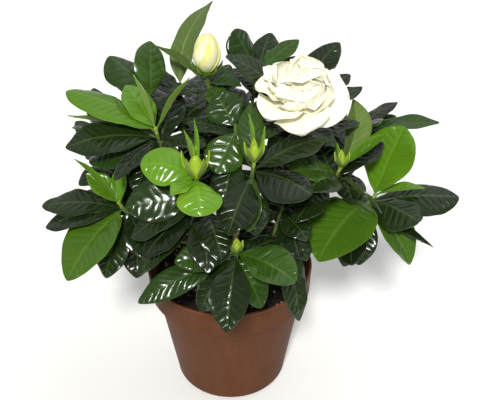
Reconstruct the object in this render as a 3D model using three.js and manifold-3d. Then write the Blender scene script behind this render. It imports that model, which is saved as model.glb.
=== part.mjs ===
// Gardenia in bloom in a plain nursery pot: millimetres, +Z up.
// The origin is the middle of the pot's foot, on the surface that the pot stands on.
import * as THREE from 'three';
import { mergeVertices } from 'three/addons/utils/BufferGeometryUtils.js';
import Module from 'manifold-3d';

const wasm = await Module();
wasm.setup();

const radians = (degrees) => (degrees * Math.PI) / 180;

// Driving dimensions of the pot and its soil
const RIM_RADIUS = 65;
const POT_HEIGHT = 110;
const BAND_HEIGHT = 22;
const BODY_TOP_RADIUS = 58.6;
const BASE_RADIUS = 45;
const BASE_ROUNDING = 8;
const WALL = 2;
const FLOOR = 3;
const DRAIN_HOLES = 6;
const DRAIN_HOLE_RADIUS = 5;
const DRAIN_CIRCLE_RADIUS = 30;
const FOOT_NOTCHES = 4;
const FOOT_NOTCH_WIDTH = 16;
const FOOT_NOTCH_HEIGHT = 3;
const FOOT_NOTCH_DEPTH = 5;
const FOOT_NOTCH_TURN = radians(-92);
const DRAIN_HOLE_SIDES = 8;
const POT_SIDES = 30;
const ROUNDING_STEPS = 3;
const LIP = 1;
const SOIL_LEVEL = 99;
const SOIL_CROWN = 1.5;
const GAP = 0.3;

// Driving dimensions of the wood, the green stems and the blades
const TRUNK_RADIUS = 3;
const TRUNK_TOP_RADIUS = 2.3;
const TRUNK_FOOT_LEVEL = 72;
const BRANCH_RADIUS = 1.9;
const GREEN_RADIUS = 1.5;
const TIP_RADIUS = 1.1;
const WOOD_SHARE = 0.5;
const YOUNG_REACH = 5;
const BLADE = 0.9;
const PETIOLE = 0.07;
const PETIOLE_HALF_WIDTH = 0.7;
const STEM_SIDES = 5;
const BRANCH_STEPS = 2;
const SHOOT_STEPS = 3;
const HOLE_GAP = 0.45;
const FORK_LEVEL = 118;
const FORK_RISE = 0.3;
const LOW_TIP_LEVEL = 160;
const STEM_LEAN = 0.6;
const STEM_UPTURN = 0.5;

// Shares of a blade's length where its solid has a section: a leaf, a petal, a calyx lobe
const STATIONS = [0, 0.36, 0.76];
const PETAL_STATIONS = [0, 0.35, 0.7];
const LOBE_STATIONS = [0, 0.5];

// Shape of a blade: how its fold grows outward, the waves of its edge, how late its point starts
const FOLD_POWER = 1.3;
const WAVES_PER_BLADE = 2.2;
const WAVE_SHIFT = 1.5;
const FULL_WAVE_HALF_WIDTH = 8;
const POINT_POWER = 10;
const PHASE_STEP = 0.37;

// Large bud, small buds and flower
const CREAM_BUD_RADIUS = 10;
const CREAM_BUD_HEIGHT = 27;
const CREAM_BUD_NECK = 4;
const CREAM_BUD_FOLDS = 5;
const CREAM_BUD_RELIEF = 0.09;
const CREAM_BUD_WIND = 1.6;
const CREAM_BUD_SIDES = 20;
const CREAM_BUD_STEPS = 7;
const BUD_BELLY = 0.85;
const BUD_FULLNESS = 0.8;
const BUD_FOOT = new THREE.Vector3(-15, 28, 263.5);
const CALYX_LOBES = 5;
const CALYX_CUP_RADIUS = 6.2;
const CALYX_CUP_HEIGHT = 4.2;
const CALYX_LOBE_LENGTH = 12;
const CALYX_LOBE_WIDTH = 4;
const CALYX_START_PITCH = 10;
const CALYX_END_PITCH = 86;
const CALYX_TURN = 20;
const CALYX_SINK = 0.5;
const CALYX_CUP_SIDES = 10;
const SMALL_BUD_SINK = 0.8;
const SMALL_BUD_SIDES = 6;
const SMALL_BUD_STEPS = 3;
const SMALL_LOBE_WIDTH = 4.6;
const SMALL_LOBE_SPREAD = 0.2;
const SMALL_LOBE_SHARE = 1.3;
const SMALL_BUD_SHARE = 0.4;
const SMALL_LOBE_START_PITCH = 44;
const BLOOM_FOOT = new THREE.Vector3(51, 0, 250);
const BLOOM_AXIS = new THREE.Vector3(0.06, -0.3, 0.95).normalize();
const BLOOM_TURN = new THREE.Quaternion().setFromUnitVectors(new THREE.Vector3(0, 0, 1), BLOOM_AXIS);
const HEART_RADIUS = 9;
const HEART_HEIGHT = 28;
const HEART_SINK = 5;
const HEART_SIDES = 12;
const HEART_STEPS = 5;
const OPEN_PETALS = 18;
const BLOOM_SEED = 11;
const PETAL_ROLL = 17;
const PETAL_DIRECTION_SPREAD = 10;
const PETAL_SIZE_SPREAD = 0.16;
const PETAL_DROOP_SPREAD = 16;
const PETAL_ROLL_SPREAD = 6;
const PETAL_SWEEP_SPREAD = 24;
const PETAL_START = 3;
// Rings of petals: [count, first heading, pitch, length, width, droop, level above the foot, form]
const PETAL_ROWS = [
  [7, 12, 14, 38, 40, 50, 0, 'petal'],
  [6, 30, 50, 35, 36, -62, 2, 'bowl'],
  [5, 5, 60, 28, 30, -78, 3, 'bowl'],
  [4, 40, 68, 21, 23, -90, 4, 'bowl'],
  [2, 10, 76, 15, 18, -96, 5, 'bowl'],
];

const POT_COLOUR = 0x7a4a35;
const SOIL_COLOUR = 0x2b211b;
const WOOD_COLOUR = 0x6b5340;
const LEAF_COLOUR = 0x24401f;
const YOUNG_COLOUR = 0x7ea53a;
const CREAM_COLOUR = 0xf3efc0;
const PETAL_COLOUR = 0xfdf9ea;
const POT_ROUGHNESS = 0.6;
const SOIL_ROUGHNESS = 1;
const WOOD_ROUGHNESS = 0.9;
const LEAF_ROUGHNESS = 0.35;
const PETAL_ROUGHNESS = 0.65;

// How a blade is bent across: fold in degrees (below zero it is domed) and wave height of its edge
const FORMS = {
  waved: { fold: 10, wave: 0.9, belly: 1.25, taper: 0.58, point: 0.3 },
  domed: { fold: -16, wave: 0.4, belly: 1.3, taper: 0.5, point: 0.15 },
  cupped: { fold: 20, wave: 0.5, belly: 1.1, taper: 0.75, point: 0.4 },
  folded: { fold: 50, wave: 0, belly: 1.05, taper: 0.9, point: 0.3 },
  plain: { fold: 0, wave: 0.8, belly: 1.22, taper: 0.6, point: 0.3 },
  lobe: { fold: 0, wave: 0, belly: 0.8, taper: 0.8, point: 0.2 },
  oval: { fold: 8, wave: 0.6, belly: 0.98, taper: 0.62, point: 0.35 },
  round: { fold: -14, wave: 0.4, belly: 1.35, taper: 0.48, point: 0 },
  petal: { fold: 8, wave: 1.4, belly: 1.35, taper: 0.5, point: 0 },
  bowl: { fold: 24, wave: 0.8, belly: 1.25, taper: 0.52, point: 0 },
};

// Four woody stems stand in the soil: foot [x, y] and top [x, y, z]
const TRUNKS = {
  left: { foot: [-14, -2], top: [-26, 4, 148] },
  right: { foot: [15, -4], top: [27, -6, 148] },
  front: { foot: [1, -19], top: [-1, -31, 148] },
  back: { foot: [1, 19], top: [0, 28, 150] },
};

// Leafy shoots: tip of the stem [x, y, z], the trunk that carries it, and its leaves.
// Leaf: [distance down from the tip, heading, pitch, length, width, droop, roll, sweep, form, colour].
// Heading 0 points along +X and 90 to the back; droop and sweep are the turn from base to tip.
const SHOOTS = [
  {
    name: 'top', trunk: 'back', tip: [-15, 28, 259.5], whorls: [],
    leaves: [
      [7, 148, 30, 52, 12, 20, 35, 10, 'folded', 'green'],
      [10, 58, 14, 30, 18, 30, 0, 0, 'plain', 'green'],
      [7, -20, 6, 27, 17, 30, 0, 0, 'cupped', 'green'],
      [10, -63, 7, 26, 17, 30, 20, 0, 'cupped', 'green'],
      [12, -161, 8, 32, 20, 35, 0, 0, 'plain', 'dark'],
      [20, -138, -17, 35, 19, 35, 0, 0, 'plain', 'dark'],
      [24, -52, -19, 35, 19, 35, 0, 0, 'plain', 'dark'],
      [22, 60, 12, 46, 22, 35, 0, 0, 'plain', 'dark'],
      [30, -150, 0, 46, 24, 35, 0, 0, 'plain', 'dark'],
      [34, 170, 5, 48, 24, 35, 0, 0, 'plain', 'dark'],
      [38, -75, -5, 44, 24, 40, 0, 0, 'plain', 'dark'],
    ],
  },
  {
    name: 'inner', trunk: 'front', tip: [6, -12, 241], whorls: [],
    leaves: [
      [3, 124, 24, 31, 28, 15, -28, 0, 'plain', 'green'],
      [5, -121, -39, 34, 28, 14, -22, 0, 'plain', 'green'],
      [9, 160, 8, 42, 22, 35, 0, 0, 'plain', 'dark'],
      [12, 100, 10, 44, 22, 35, 0, 0, 'plain', 'dark'],
      [16, -160, -10, 44, 22, 35, 0, 0, 'plain', 'dark'],
      [22, -88, -24, 46, 24, 40, 0, 0, 'plain', 'dark'],
      [26, -20, -4, 40, 24, 40, 0, 0, 'plain', 'dark'],
      [30, -135, -12, 46, 24, 40, 0, 0, 'plain', 'dark'],
      [34, -70, -24, 46, 24, 40, 0, 0, 'plain', 'dark'],
    ],
  },
  {
    name: 'bloom', trunk: 'back', tip: [50.8, 1.6, 244.9], whorls: [34],
    leaves: [
      [10, 156, 38, 78, 26, 20, -15, -70, 'plain', 'dull'],
      [11, 33, 10, 64, 20, 25, 0, 0, 'plain', 'dull'],
      [13, -44, -2, 42, 19, 35, 0, 0, 'plain', 'dull'],
      [15, -141, 5, 42, 19, 35, 0, 0, 'waved', 'green'],
      [17, -112, 2, 42, 17, 30, 0, 0, 'plain', 'dark'],
      [20, -168, 9, 42, 20, 35, 0, 0, 'plain', 'dark'],
      [22, 75, 14, 50, 22, 35, 0, 0, 'plain', 'dark'],
    ],
  },
  {
    name: 'tall', trunk: 'left', tip: [-37, 52, 239], whorls: [22, 36],
    leaves: [
      [2, 68, 42, 80, 30, 25, 160, 65, 'plain', 'green'],
      [6, 151, 26, 36, 19, 30, 0, 0, 'plain', 'dull'],
    ],
  },
  {
    name: 'left_back', trunk: 'left', tip: [-58, 28, 244], whorls: [26, 40],
    leaves: [
      [2, 147, 32, 46, 35, 35, 0, 0, 'domed', 'green'],
      [4, 92, 50, 46, 26, 20, 30, 0, 'plain', 'green'],
      [8, 125, 20, 44, 22, 25, 0, 0, 'plain', 'dark'],
      [5, -120, 45, 18, 11, 15, 0, 0, 'cupped', 'green'],
      [12, -164, 8, 40, 21, 35, 0, 0, 'plain', 'dark'],
      [12, 40, 16, 40, 22, 30, 0, 0, 'plain', 'dark'],
    ],
  },
  {
    name: 'left_high', trunk: 'left', tip: [-51, -8, 236], whorls: [28],
    leaves: [
      [4, 167, 21, 75, 30, 40, -5, 0, 'domed', 'bright'],
      [2, 136, 36, 40, 26, 20, 5, 0, 'plain', 'bright'],
      [2, 45, 42, 45, 10, 12, -40, 0, 'folded', 'bright'],
      [3, 134, 58, 43, 9, 8, 60, 0, 'folded', 'bright'],
      [9, -172, -2, 70, 32, 40, -20, 0, 'plain', 'dull'],
      [12, -176, -16, 58, 32, 45, -10, 0, 'domed', 'deep'],
      [10, 130, 27, 60, 19, 12, 0, 0, 'plain', 'dark'],
      [9, 170, 10, 72, 9, 12, 40, 0, 'folded', 'fresh'],
      [10, -124, -10, 52, 21, 35, 15, 0, 'plain', 'dark'],
      [13, -108, -20, 50, 22, 40, 0, 0, 'plain', 'dark'],
      [10, -29, 5, 42, 22, 35, 0, 0, 'plain', 'dark'],
      [14, 14, 12, 50, 26, 40, 0, 0, 'plain', 'dark'],
      [16, 70, 22, 46, 24, 35, 0, 0, 'plain', 'dark'],
      [22, -60, -14, 50, 26, 40, 0, 0, 'plain', 'dark'],
    ],
  },
  {
    name: 'front_low', trunk: 'front', tip: [7, -80, 181], bud: [7, 8], whorls: [],
    leaves: [
      [5, -99, -41, 58, 29, 45, 0, 0, 'cupped', 'dark'],
      [3, -32, -6, 50, 31, 42, 14, 0, 'waved', 'green'],
      [5, -168, 0, 44, 21, 30, -40, 0, 'plain', 'green'],
      [3, 160, 9, 34, 14, 20, -40, 0, 'waved', 'fresh'],
      [12, -166, -20, 76, 21, 28, -38, 0, 'plain', 'green'],
      [10, -135, -27, 48, 26, 50, 0, 0, 'plain', 'dark'],
      [10, -58, -34, 42, 22, 45, 0, 0, 'waved', 'green'],
      [18, 30, 10, 40, 22, 45, 0, 0, 'plain', 'dark'],
    ],
  },
  {
    name: 'front_young', trunk: 'front', tip: [-20, -58, 226], bud: [13, 18], whorls: [],
    leaves: [
      [3, 172, 14, 46, 29, 62, -36, 0, 'round', 'young'],
      [2, -82, -14, 37, 31, 58, 0, 0, 'round', 'young'],
      [1, 113, 52, 34, 7, 10, 50, 0, 'folded', 'young'],
      [1, 94, 58, 40, 6, 5, 40, 0, 'folded', 'young'],
      [3, -142, -4, 24, 14, 30, 0, 0, 'waved', 'young'],
      [20, 172, -14, 54, 30, 30, -45, 0, 'plain', 'deep'],
      [24, -168, -12, 59, 32, 40, 0, 0, 'plain', 'dark'],
      [28, -146, -22, 59, 28, 45, 0, 0, 'plain', 'dark'],
      [34, -148, -31, 68, 24, 45, 0, 0, 'plain', 'dark'],
      [31, -116, -30, 54, 26, 45, 0, 0, 'plain', 'dark'],
      [30, -72, -22, 48, 24, 45, 0, 0, 'plain', 'dark'],
      [26, 140, 6, 44, 24, 40, 0, 0, 'plain', 'dark'],
    ],
  },
  {
    name: 'middle', trunk: 'front', tip: [19, -48, 233], bud: [10, 13], whorls: [30],
    leaves: [
      [2, 100, 52, 34, 6, 8, 60, 0, 'folded', 'young'],
      [3, 76, 48, 28, 6, 8, 60, 0, 'folded', 'young'],
      [11, 92, 26, 54, 19, 18, 0, 0, 'plain', 'green'],
      [14, -110, -22, 52, 28, 40, 0, 0, 'plain', 'dark'],
      [8, 16, 14, 58, 30, 35, 0, 0, 'plain', 'dark'],
      [9, -33, -3, 50, 40, 45, 0, 0, 'domed', 'dark'],
      [11, -103, -37, 44, 18, 45, 20, 0, 'waved', 'green'],
      [13, -84, -43, 44, 20, 40, 0, 0, 'plain', 'dark'],
    ],
  },
  {
    name: 'right_high', trunk: 'right', tip: [81, -22, 213], bud: [6, 10], whorls: [],
    leaves: [
      [2, 24, 27, 42, 13, 15, 30, 0, 'folded', 'bright'],
      [10, 70, 36, 74, 24, 25, 150, -60, 'cupped', 'fresh'],
      [2, 114, 46, 25, 8, 10, 40, 0, 'folded', 'bright'],
      [9, -128, 8, 40, 33, 45, 0, 0, 'plain', 'deep'],
      [8, -156, 17, 42, 26, 35, -20, 0, 'waved', 'green'],
      [9, -42, -18, 47, 24, 45, -50, 0, 'plain', 'dull'],
      [20, -124, -6, 50, 24, 40, 0, 0, 'plain', 'dark'],
      [22, 62, 4, 50, 22, 40, 0, 0, 'plain', 'dark'],
      [24, 160, 2, 44, 22, 40, 0, 0, 'plain', 'dark'],
      [13, 112, 20, 46, 26, 35, 0, 0, 'plain', 'dark'],
      [12, 50, 26, 50, 23, 30, 0, 0, 'plain', 'dark'],
    ],
  },
  {
    name: 'right_low', trunk: 'right', tip: [111, -2, 176], whorls: [32],
    leaves: [
      [3, 48, 55, 58, 44, 22, 0, 0, 'waved', 'bright'],
      [9, -130, -17, 77, 54, 62, 0, 0, 'oval', 'fresh'],
      [2, 0, 10, 40, 12, 40, 0, 0, 'cupped', 'bright'],
      [9, 2, 2, 70, 34, 25, 15, 0, 'domed', 'dark'],
      [8, -34, 5, 48, 36, 32, 12, 0, 'domed', 'dark'],
      [11, -47, -32, 62, 32, 52, 0, 0, 'cupped', 'fresh'],
      [12, -24, -22, 62, 12, 30, 80, 0, 'folded', 'dark'],
      [14, -100, -44, 51, 25, 55, 0, 0, 'plain', 'dark'],
      [18, -117, -37, 50, 23, 50, 0, 0, 'plain', 'dark'],
      [20, -156, -26, 64, 24, 30, -45, 0, 'plain', 'green'],
      [20, 100, 5, 50, 24, 40, 0, 0, 'plain', 'dark'],
      [24, 132, 2, 52, 26, 35, 0, 0, 'plain', 'dark'],
    ],
  },
  {
    name: 'left_low', trunk: 'left', tip: [-79, -28, 186], whorls: [],
    leaves: [
      [8, -132, -30, 71, 42, 45, 0, 0, 'oval', 'mid'],
      [2, 150, 55, 46, 9, 10, -15, 0, 'folded', 'bright'],
      [2, 157, 41, 33, 17, 20, -25, 0, 'cupped', 'bright'],
      [3, 97, 52, 28, 12, 10, 0, 0, 'cupped', 'bright'],
      [2, 70, 66, 28, 9, 8, 0, 0, 'cupped', 'bright'],
      [8, 175, -1, 64, 28, 35, -8, 0, 'plain', 'dark'],
      [9, -170, -5, 62, 29, 40, 0, 0, 'plain', 'dark'],
      [12, -110, -40, 56, 26, 50, 0, 0, 'plain', 'dark'],
      [14, -64, -21, 48, 24, 50, 0, 0, 'plain', 'dark'],
      [18, 96, 12, 52, 24, 35, 0, 0, 'plain', 'dark'],
      [22, 140, 4, 54, 24, 35, 0, 0, 'plain', 'dark'],
      [24, -30, -4, 46, 22, 40, 0, 0, 'plain', 'dark'],
      [28, -88, -24, 50, 24, 45, 0, 0, 'plain', 'dark'],
    ],
  },
  {
    name: 'right_inner', trunk: 'right', tip: [39, -40, 191], whorls: [],
    leaves: [
      [14, -73, -46, 80, 23, 40, -20, 0, 'plain', 'dull'],
      [7, -60, -6, 36, 22, 40, 0, 0, 'plain', 'dark'],
      [6, -96, -40, 38, 23, 40, 0, 0, 'plain', 'dark'],
      [4, -19, 14, 27, 20, 35, 0, 0, 'plain', 'dark'],
      [8, -164, 9, 30, 20, 35, 0, 0, 'plain', 'dark'],
      [10, 60, 20, 46, 24, 40, 0, 0, 'plain', 'dark'],
      [14, 130, 8, 44, 22, 40, 0, 0, 'plain', 'dark'],
      [16, 34, 8, 44, 24, 40, 0, 0, 'plain', 'dark'],
      [24, -62, -20, 40, 22, 40, 0, 0, 'plain', 'dark'],
      [26, 84, 4, 54, 24, 40, 0, 0, 'plain', 'dark'],
      [26, -150, 0, 46, 22, 40, 0, 0, 'plain', 'dark'],
    ],
  },
  {
    name: 'back_top', trunk: 'back', tip: [21, 62, 247], whorls: [14, 28],
    leaves: [
      [3, 34, 25, 45, 18, 20, 10, 0, 'plain', 'green'],
      [2, 164, 44, 38, 30, 15, -22, 0, 'domed', 'green'],
      [4, 10, 14, 41, 20, 25, 0, 0, 'waved', 'green'],
    ],
  },
  { name: 'back_left', trunk: 'left', tip: [-95, 45, 192], whorls: [4, 16, 30], leaves: [] },
  { name: 'back_left_high', trunk: 'left', tip: [-55, 82, 208], whorls: [4, 16, 30], leaves: [] },
  { name: 'back_middle', trunk: 'back', tip: [-5, 100, 184], whorls: [4, 16, 30], leaves: [] },
  { name: 'back_right_high', trunk: 'back', tip: [58, 82, 216], whorls: [4, 16, 30], leaves: [] },
  {
    name: 'back_right', trunk: 'right', tip: [98, 48, 202], whorls: [6, 16, 30],
    leaves: [
      [3, -4, 11, 68, 22, 25, 0, 0, 'waved', 'green'],
    ],
  },
  { name: 'back_low_left', trunk: 'back', tip: [-56, 66, 150], whorls: [10, 22], leaves: [] },
  { name: 'back_low_right', trunk: 'right', tip: [60, 66, 150], whorls: [10, 22], leaves: [] },
];

// Whorls of three leaves at a shoot's whorl distances down the stem: upright near the tip,
// level further down, and turned by a sixth from one whorl to the next
const WHORL_LEAVES = 3;
const WHORL_TOP_PITCH = 45;
const WHORL_PITCH_LOSS = 1.3;
const WHORL_LENGTH = 56;
const WHORL_WIDTH = 24;
const WHORL_DROOP = 40;
const WHORL_SEED = 7;
const WHORL_SIZE_SPREAD = 0.3;
const WHORL_TURN_SPREAD = 20;
const WHORL_PITCH_SPREAD = 14;
const WHORL_DROOP_SPREAD = 20;
const WHORL_ROLL_SPREAD = 30;
const WHORL_DOWN_SPREAD = 2;
const WHORL_WOOD_CLEARANCE = 0.04;

// A leaf that would touch another shoot, the flower, the pot or the soil takes the first of these
// bends that is clear: [turn of heading, turn of pitch] in degrees
const BENDS = [
  [0, 0], [0, 4], [0, -4], [5, 0], [-5, 0], [0, 8], [0, -8], [8, 5], [-8, 5], [8, -5], [-8, -5],
  [0, 12], [0, -12], [12, 0], [-12, 0], [14, 9], [-14, 9], [14, -9], [-14, -9], [0, 18], [0, -18],
  [22, 0], [-22, 0], [20, 14], [-20, 14], [20, -14], [-20, -14], [30, 6], [-30, 6], [0, 26], [0, -26],
];

// Grid of cells that says where solids already are, and how densely they are sampled
const CELL = 1.57;
const SAMPLE_SPACING = 1.2;
const STEM_SAMPLES = 60;
const GRID_REACH = 200;
const GRID_HEIGHT = 360;
const GRID_CELLS = Math.ceil((2 * GRID_REACH) / CELL);
const GRID_LEVELS = Math.ceil(GRID_HEIGHT / CELL);
const FIXED_BIT = 1 << 30;
const MERGE_DISTANCE = 1e-4;
const JOIN_TOLERANCE = 0.05;
const PETAL_TOLERANCE = 0.25;

// A blade may touch its own node up to its outer share, and its shoot's other node up to its near share
const OUTER_SHARE = 0.3;
const NEAR_SHARE = 0.12;

// Park and Miller's generator, so that every build draws the same numbers
function drawer(seed) {
  let state = seed;
  return () => {
    state = (state * 16807) % 2147483647;
    return state / 2147483647;
  };
}

// A loft through rings of equal length, closed by a fan at its start and by a fan or a point at
// its end. Rings are listed anticlockwise as seen from the end; flip holds the edges whose
// quads take the other diagonal.
function loft(rings, endPoint = null, flip = () => false) {
  const count = rings[0].length;
  const positions = rings.flat().flatMap((p) => p.toArray());
  const faces = [];
  for (let i = 0; i + 1 < rings.length; i += 1) {
    for (let j = 0; j < count; j += 1) {
      const a = i * count + j;
      const b = i * count + ((j + 1) % count);
      const c = a + count;
      const d = b + count;
      if (flip(j)) faces.push(a, b, c, b, d, c);
      else faces.push(a, b, d, a, d, c);
    }
  }
  for (let j = 1; j + 1 < count; j += 1) faces.push(0, j + 1, j);
  const last = (rings.length - 1) * count;
  if (endPoint) {
    positions.push(...endPoint.toArray());
    const tip = rings.length * count;
    for (let j = 0; j < count; j += 1) faces.push(last + j, last + ((j + 1) % count), tip);
  } else {
    for (let j = 1; j + 1 < count; j += 1) faces.push(last, last + j, last + j + 1);
  }
  const geometry = new THREE.BufferGeometry();
  geometry.setAttribute('position', new THREE.Float32BufferAttribute(positions, 3));
  geometry.setIndex(faces);
  return geometry;
}

function toSolid(geometry) {
  const bare = geometry.clone();
  bare.deleteAttribute('normal');
  bare.deleteAttribute('uv');
  const merged = mergeVertices(bare, MERGE_DISTANCE);
  return new wasm.Manifold(new wasm.Mesh({
    numProp: 3,
    vertProperties: new Float32Array(merged.attributes.position.array),
    triVerts: new Uint32Array(merged.index.array),
  }));
}

function toGeometry(solid) {
  const { vertProperties, triVerts } = solid.getMesh();
  const geometry = new THREE.BufferGeometry();
  geometry.setAttribute('position', new THREE.Float32BufferAttribute(vertProperties, 3));
  geometry.setIndex(Array.from(triVerts));
  return geometry;
}

// Joins solids, drops facets that move the surface by less than the join tolerance, and keeps the
// largest body, so that hollows closed in between blades are filled
function join(geometries, tolerance = JOIN_TOLERANCE) {
  const whole = geometries.map(toSolid).reduce((sum, solid) => sum.add(solid));
  const bodies = whole.simplify(tolerance).decompose();
  bodies.sort((a, b) => b.volume() - a.volume());
  return bodies[0];
}

const direction = (heading, pitch) => new THREE.Vector3(
  Math.cos(radians(pitch)) * Math.cos(radians(heading)),
  Math.cos(radians(pitch)) * Math.sin(radians(heading)),
  Math.sin(radians(pitch)),
);

// The blade's middle line is a parabola: its direction goes from the base's to the tip's
function bladeFrame(blade, s) {
  const start = direction(blade.heading + blade.sweep / 2, blade.pitch + blade.droop / 2);
  const end = direction(blade.heading - blade.sweep / 2, blade.pitch - blade.droop / 2);
  const point = blade.base.clone()
    .addScaledVector(start, blade.length * (s - (s * s) / 2))
    .addScaledVector(end, (blade.length * s * s) / 2);
  const along = start.multiplyScalar(1 - s).addScaledVector(end, s).normalize();
  const level = new THREE.Vector3(-along.y, along.x, 0).normalize();
  const upright = along.clone().cross(level);
  const roll = radians(blade.roll);
  const side = level.clone().multiplyScalar(Math.cos(roll)).addScaledVector(upright, Math.sin(roll));
  const up = upright.multiplyScalar(Math.cos(roll)).addScaledVector(level, -Math.sin(roll));
  return { point, side, up };
}

// Half width: a sine bump pushed outward by belly, sharpened by taper, drawn in at the point
function halfWidth(blade, s) {
  const form = FORMS[blade.form];
  const x = Math.max(0, (s - PETIOLE) / (1 - PETIOLE));
  const bump = Math.sin(Math.PI * Math.min(1, x) ** form.belly) ** form.taper;
  const drawn = 1 - form.point * x ** POINT_POWER;
  const petiole = s < 0.5 ? PETIOLE_HALF_WIDTH : 0;
  return Math.max((blade.width / 2) * bump * drawn, petiole);
}

// Point of the blade at s along and u across, from -1 to 1: folded or domed, with a waved edge
function bladePoint(blade, s, u) {
  const form = FORMS[blade.form];
  const { point, side, up } = bladeFrame(blade, s);
  const half = halfWidth(blade, s);
  const fold = radians(form.fold);
  const turns = WAVES_PER_BLADE * s + blade.phase;
  const ripple = Math.sin(2 * Math.PI * turns + WAVE_SHIFT * Math.sign(u));
  const lift = half * Math.abs(u) ** FOLD_POWER * Math.sin(fold)
    + form.wave * Math.min(1, half / FULL_WAVE_HALF_WIDTH) * u * u * ripple;
  return point.addScaledVector(side, half * u * Math.cos(fold)).addScaledVector(up, lift);
}

// A solid blade: at each station three points across its face and its back, or two if it is plain
function bladeGeometry(blade, stations) {
  const rings = [];
  for (const s of stations) {
    const { up } = bladeFrame(blade, s);
    const thick = s < PETIOLE ? PETIOLE_HALF_WIDTH * 2 : BLADE;
    const half = thick / 2 / Math.cos(radians(FORMS[blade.form].fold));
    const across = FORMS[blade.form].fold === 0 ? [1, -1] : [1, 0, -1];
    const face = across.map((u) => bladePoint(blade, s, u).addScaledVector(up, half));
    const back = across.map((u) => bladePoint(blade, s, u).addScaledVector(up, -half)).reverse();
    rings.push([...face, ...back]);
  }
  const row = rings[0].length / 2;
  return loft(rings, bladePoint(blade, 1, 0), (j) => j >= row && j < 2 * row - 1);
}

// A round stem along a path, its radius going evenly from first to last
function stemGeometry(path, from, to, firstRadius, lastRadius, steps) {
  const rings = [];
  for (let i = 0; i <= steps; i += 1) {
    const t = from + ((to - from) * i) / steps;
    const point = path.getPoint(t);
    const along = path.getTangent(t);
    const side = new THREE.Vector3(0, 1, 0).cross(along).normalize();
    const other = along.clone().cross(side);
    const radius = firstRadius + ((lastRadius - firstRadius) * i) / steps;
    const ring = [];
    for (let k = 0; k < STEM_SIDES; k += 1) {
      const turn = (2 * Math.PI * k) / STEM_SIDES;
      ring.push(point.clone()
        .addScaledVector(side, radius * Math.cos(turn))
        .addScaledVector(other, radius * Math.sin(turn)));
    }
    rings.push(ring);
  }
  return loft(rings);
}

// Where solids already are: each cell holds one bit for each shoot that reaches it
const everything = new Int32Array(GRID_CELLS * GRID_CELLS * GRID_LEVELS);
const outerParts = new Int32Array(GRID_CELLS * GRID_CELLS * GRID_LEVELS);
const cellOf = (p) => [
  Math.floor((p.x + GRID_REACH) / CELL),
  Math.floor((p.y + GRID_REACH) / CELL),
  Math.floor(p.z / CELL),
];
const cellIndex = (x, y, z) => (x * GRID_CELLS + y) * GRID_LEVELS + z;

function mark(points, bit, grid = everything, reach = 1) {
  for (const p of points) {
    const [x, y, z] = cellOf(p);
    for (let i = -reach; i <= reach; i += 1) {
      for (let j = -reach; j <= reach; j += 1) {
        for (let k = -reach; k <= reach; k += 1) {
          if (z + k >= 0) grid[cellIndex(x + i, y + j, z + k)] |= bit;
        }
      }
    }
  }
}

// Sample points on a blade's facets, no further apart than the sample spacing
function bladeSamples(blade, fromShare = 0, stations = STATIONS) {
  const columns = Math.ceil(blade.width / 2 / SAMPLE_SPACING);
  const ends = [...stations, 1];
  const sections = ends.map((s) => [-1, 0, 1].map((u) => bladePoint(blade, s, u)));
  const points = [];
  for (let i = 0; i + 1 < ends.length; i += 1) {
    const rows = Math.ceil((blade.length * (ends[i + 1] - ends[i])) / SAMPLE_SPACING);
    const [low, high] = [sections[i], sections[i + 1]];
    for (let row = 0; row <= rows; row += 1) {
      const share = row / rows;
      if (ends[i] + (ends[i + 1] - ends[i]) * share < fromShare) continue;
      const [right, middle, left] = low.map((p, k) => p.clone().lerp(high[k], share));
      for (let j = 0; j <= columns; j += 1) {
        points.push(middle.clone().lerp(left, j / columns), middle.clone().lerp(right, j / columns));
      }
    }
  }
  return points;
}

// True where no sample of the blade lies in a cell that another piece has taken
function isClear(blade, bit, otherBit) {
  const blocked = (p, grid, mask) => {
    const [x, y, z] = cellOf(p);
    return z < 0 || (grid[cellIndex(x, y, z)] & mask) !== 0;
  };
  return !bladeSamples(blade).some((p) => blocked(p, everything, ~(bit | otherBit)))
    && !bladeSamples(blade, NEAR_SHARE).some((p) => blocked(p, everything, otherBit))
    && !bladeSamples(blade, OUTER_SHARE).some((p) => blocked(p, outerParts, bit));
}

// The blade at the first bend that is clear, or nothing where there is no room for it
function placed(blade, shoot) {
  const bits = [shoot.bit, shoot.youngBit];
  const [bit, otherBit] = isYoung(blade) ? bits.reverse() : bits;
  for (const [turn, tilt] of BENDS) {
    const bent = { ...blade, heading: blade.heading + turn, pitch: blade.pitch + tilt };
    if (isClear(bent, bit, otherBit)) {
      mark(bladeSamples(bent), bit);
      mark(bladeSamples(bent, OUTER_SHARE), bit, outerParts, 0);
      return bent;
    }
  }
  return null;
}

// Path of a shoot's stem: out of its trunk, lower for a lower tip, and bending up to its tip
function shootPath(shoot) {
  const trunk = TRUNKS[shoot.trunk];
  const tip = new THREE.Vector3(...shoot.tip);
  const level = FORK_LEVEL + FORK_RISE * (tip.z - LOW_TIP_LEVEL);
  const share = (level - TRUNK_FOOT_LEVEL) / (trunk.top[2] - TRUNK_FOOT_LEVEL);
  const start = trunkPath(trunk).getPoint(share);
  const reach = start.distanceTo(tip);
  const aim = tip.clone().sub(start).multiplyScalar(STEM_LEAN / reach);
  aim.z += STEM_UPTURN;
  aim.normalize();
  const control = tip.clone().addScaledVector(aim, -reach / 2);
  return { path: new THREE.QuadraticBezierCurve3(start, control, tip), reach };
}

function trunkPath({ foot, top }) {
  return new THREE.LineCurve3(
    new THREE.Vector3(foot[0], foot[1], TRUNK_FOOT_LEVEL),
    new THREE.Vector3(...top),
  );
}

// A body turned about +Z from its outline of [radius, level] points
function turned(outline) {
  const points = outline.map(([radius, level]) => new THREE.Vector2(radius, level));
  return new THREE.LatheGeometry(points, POT_SIDES).rotateX(Math.PI / 2);
}

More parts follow.
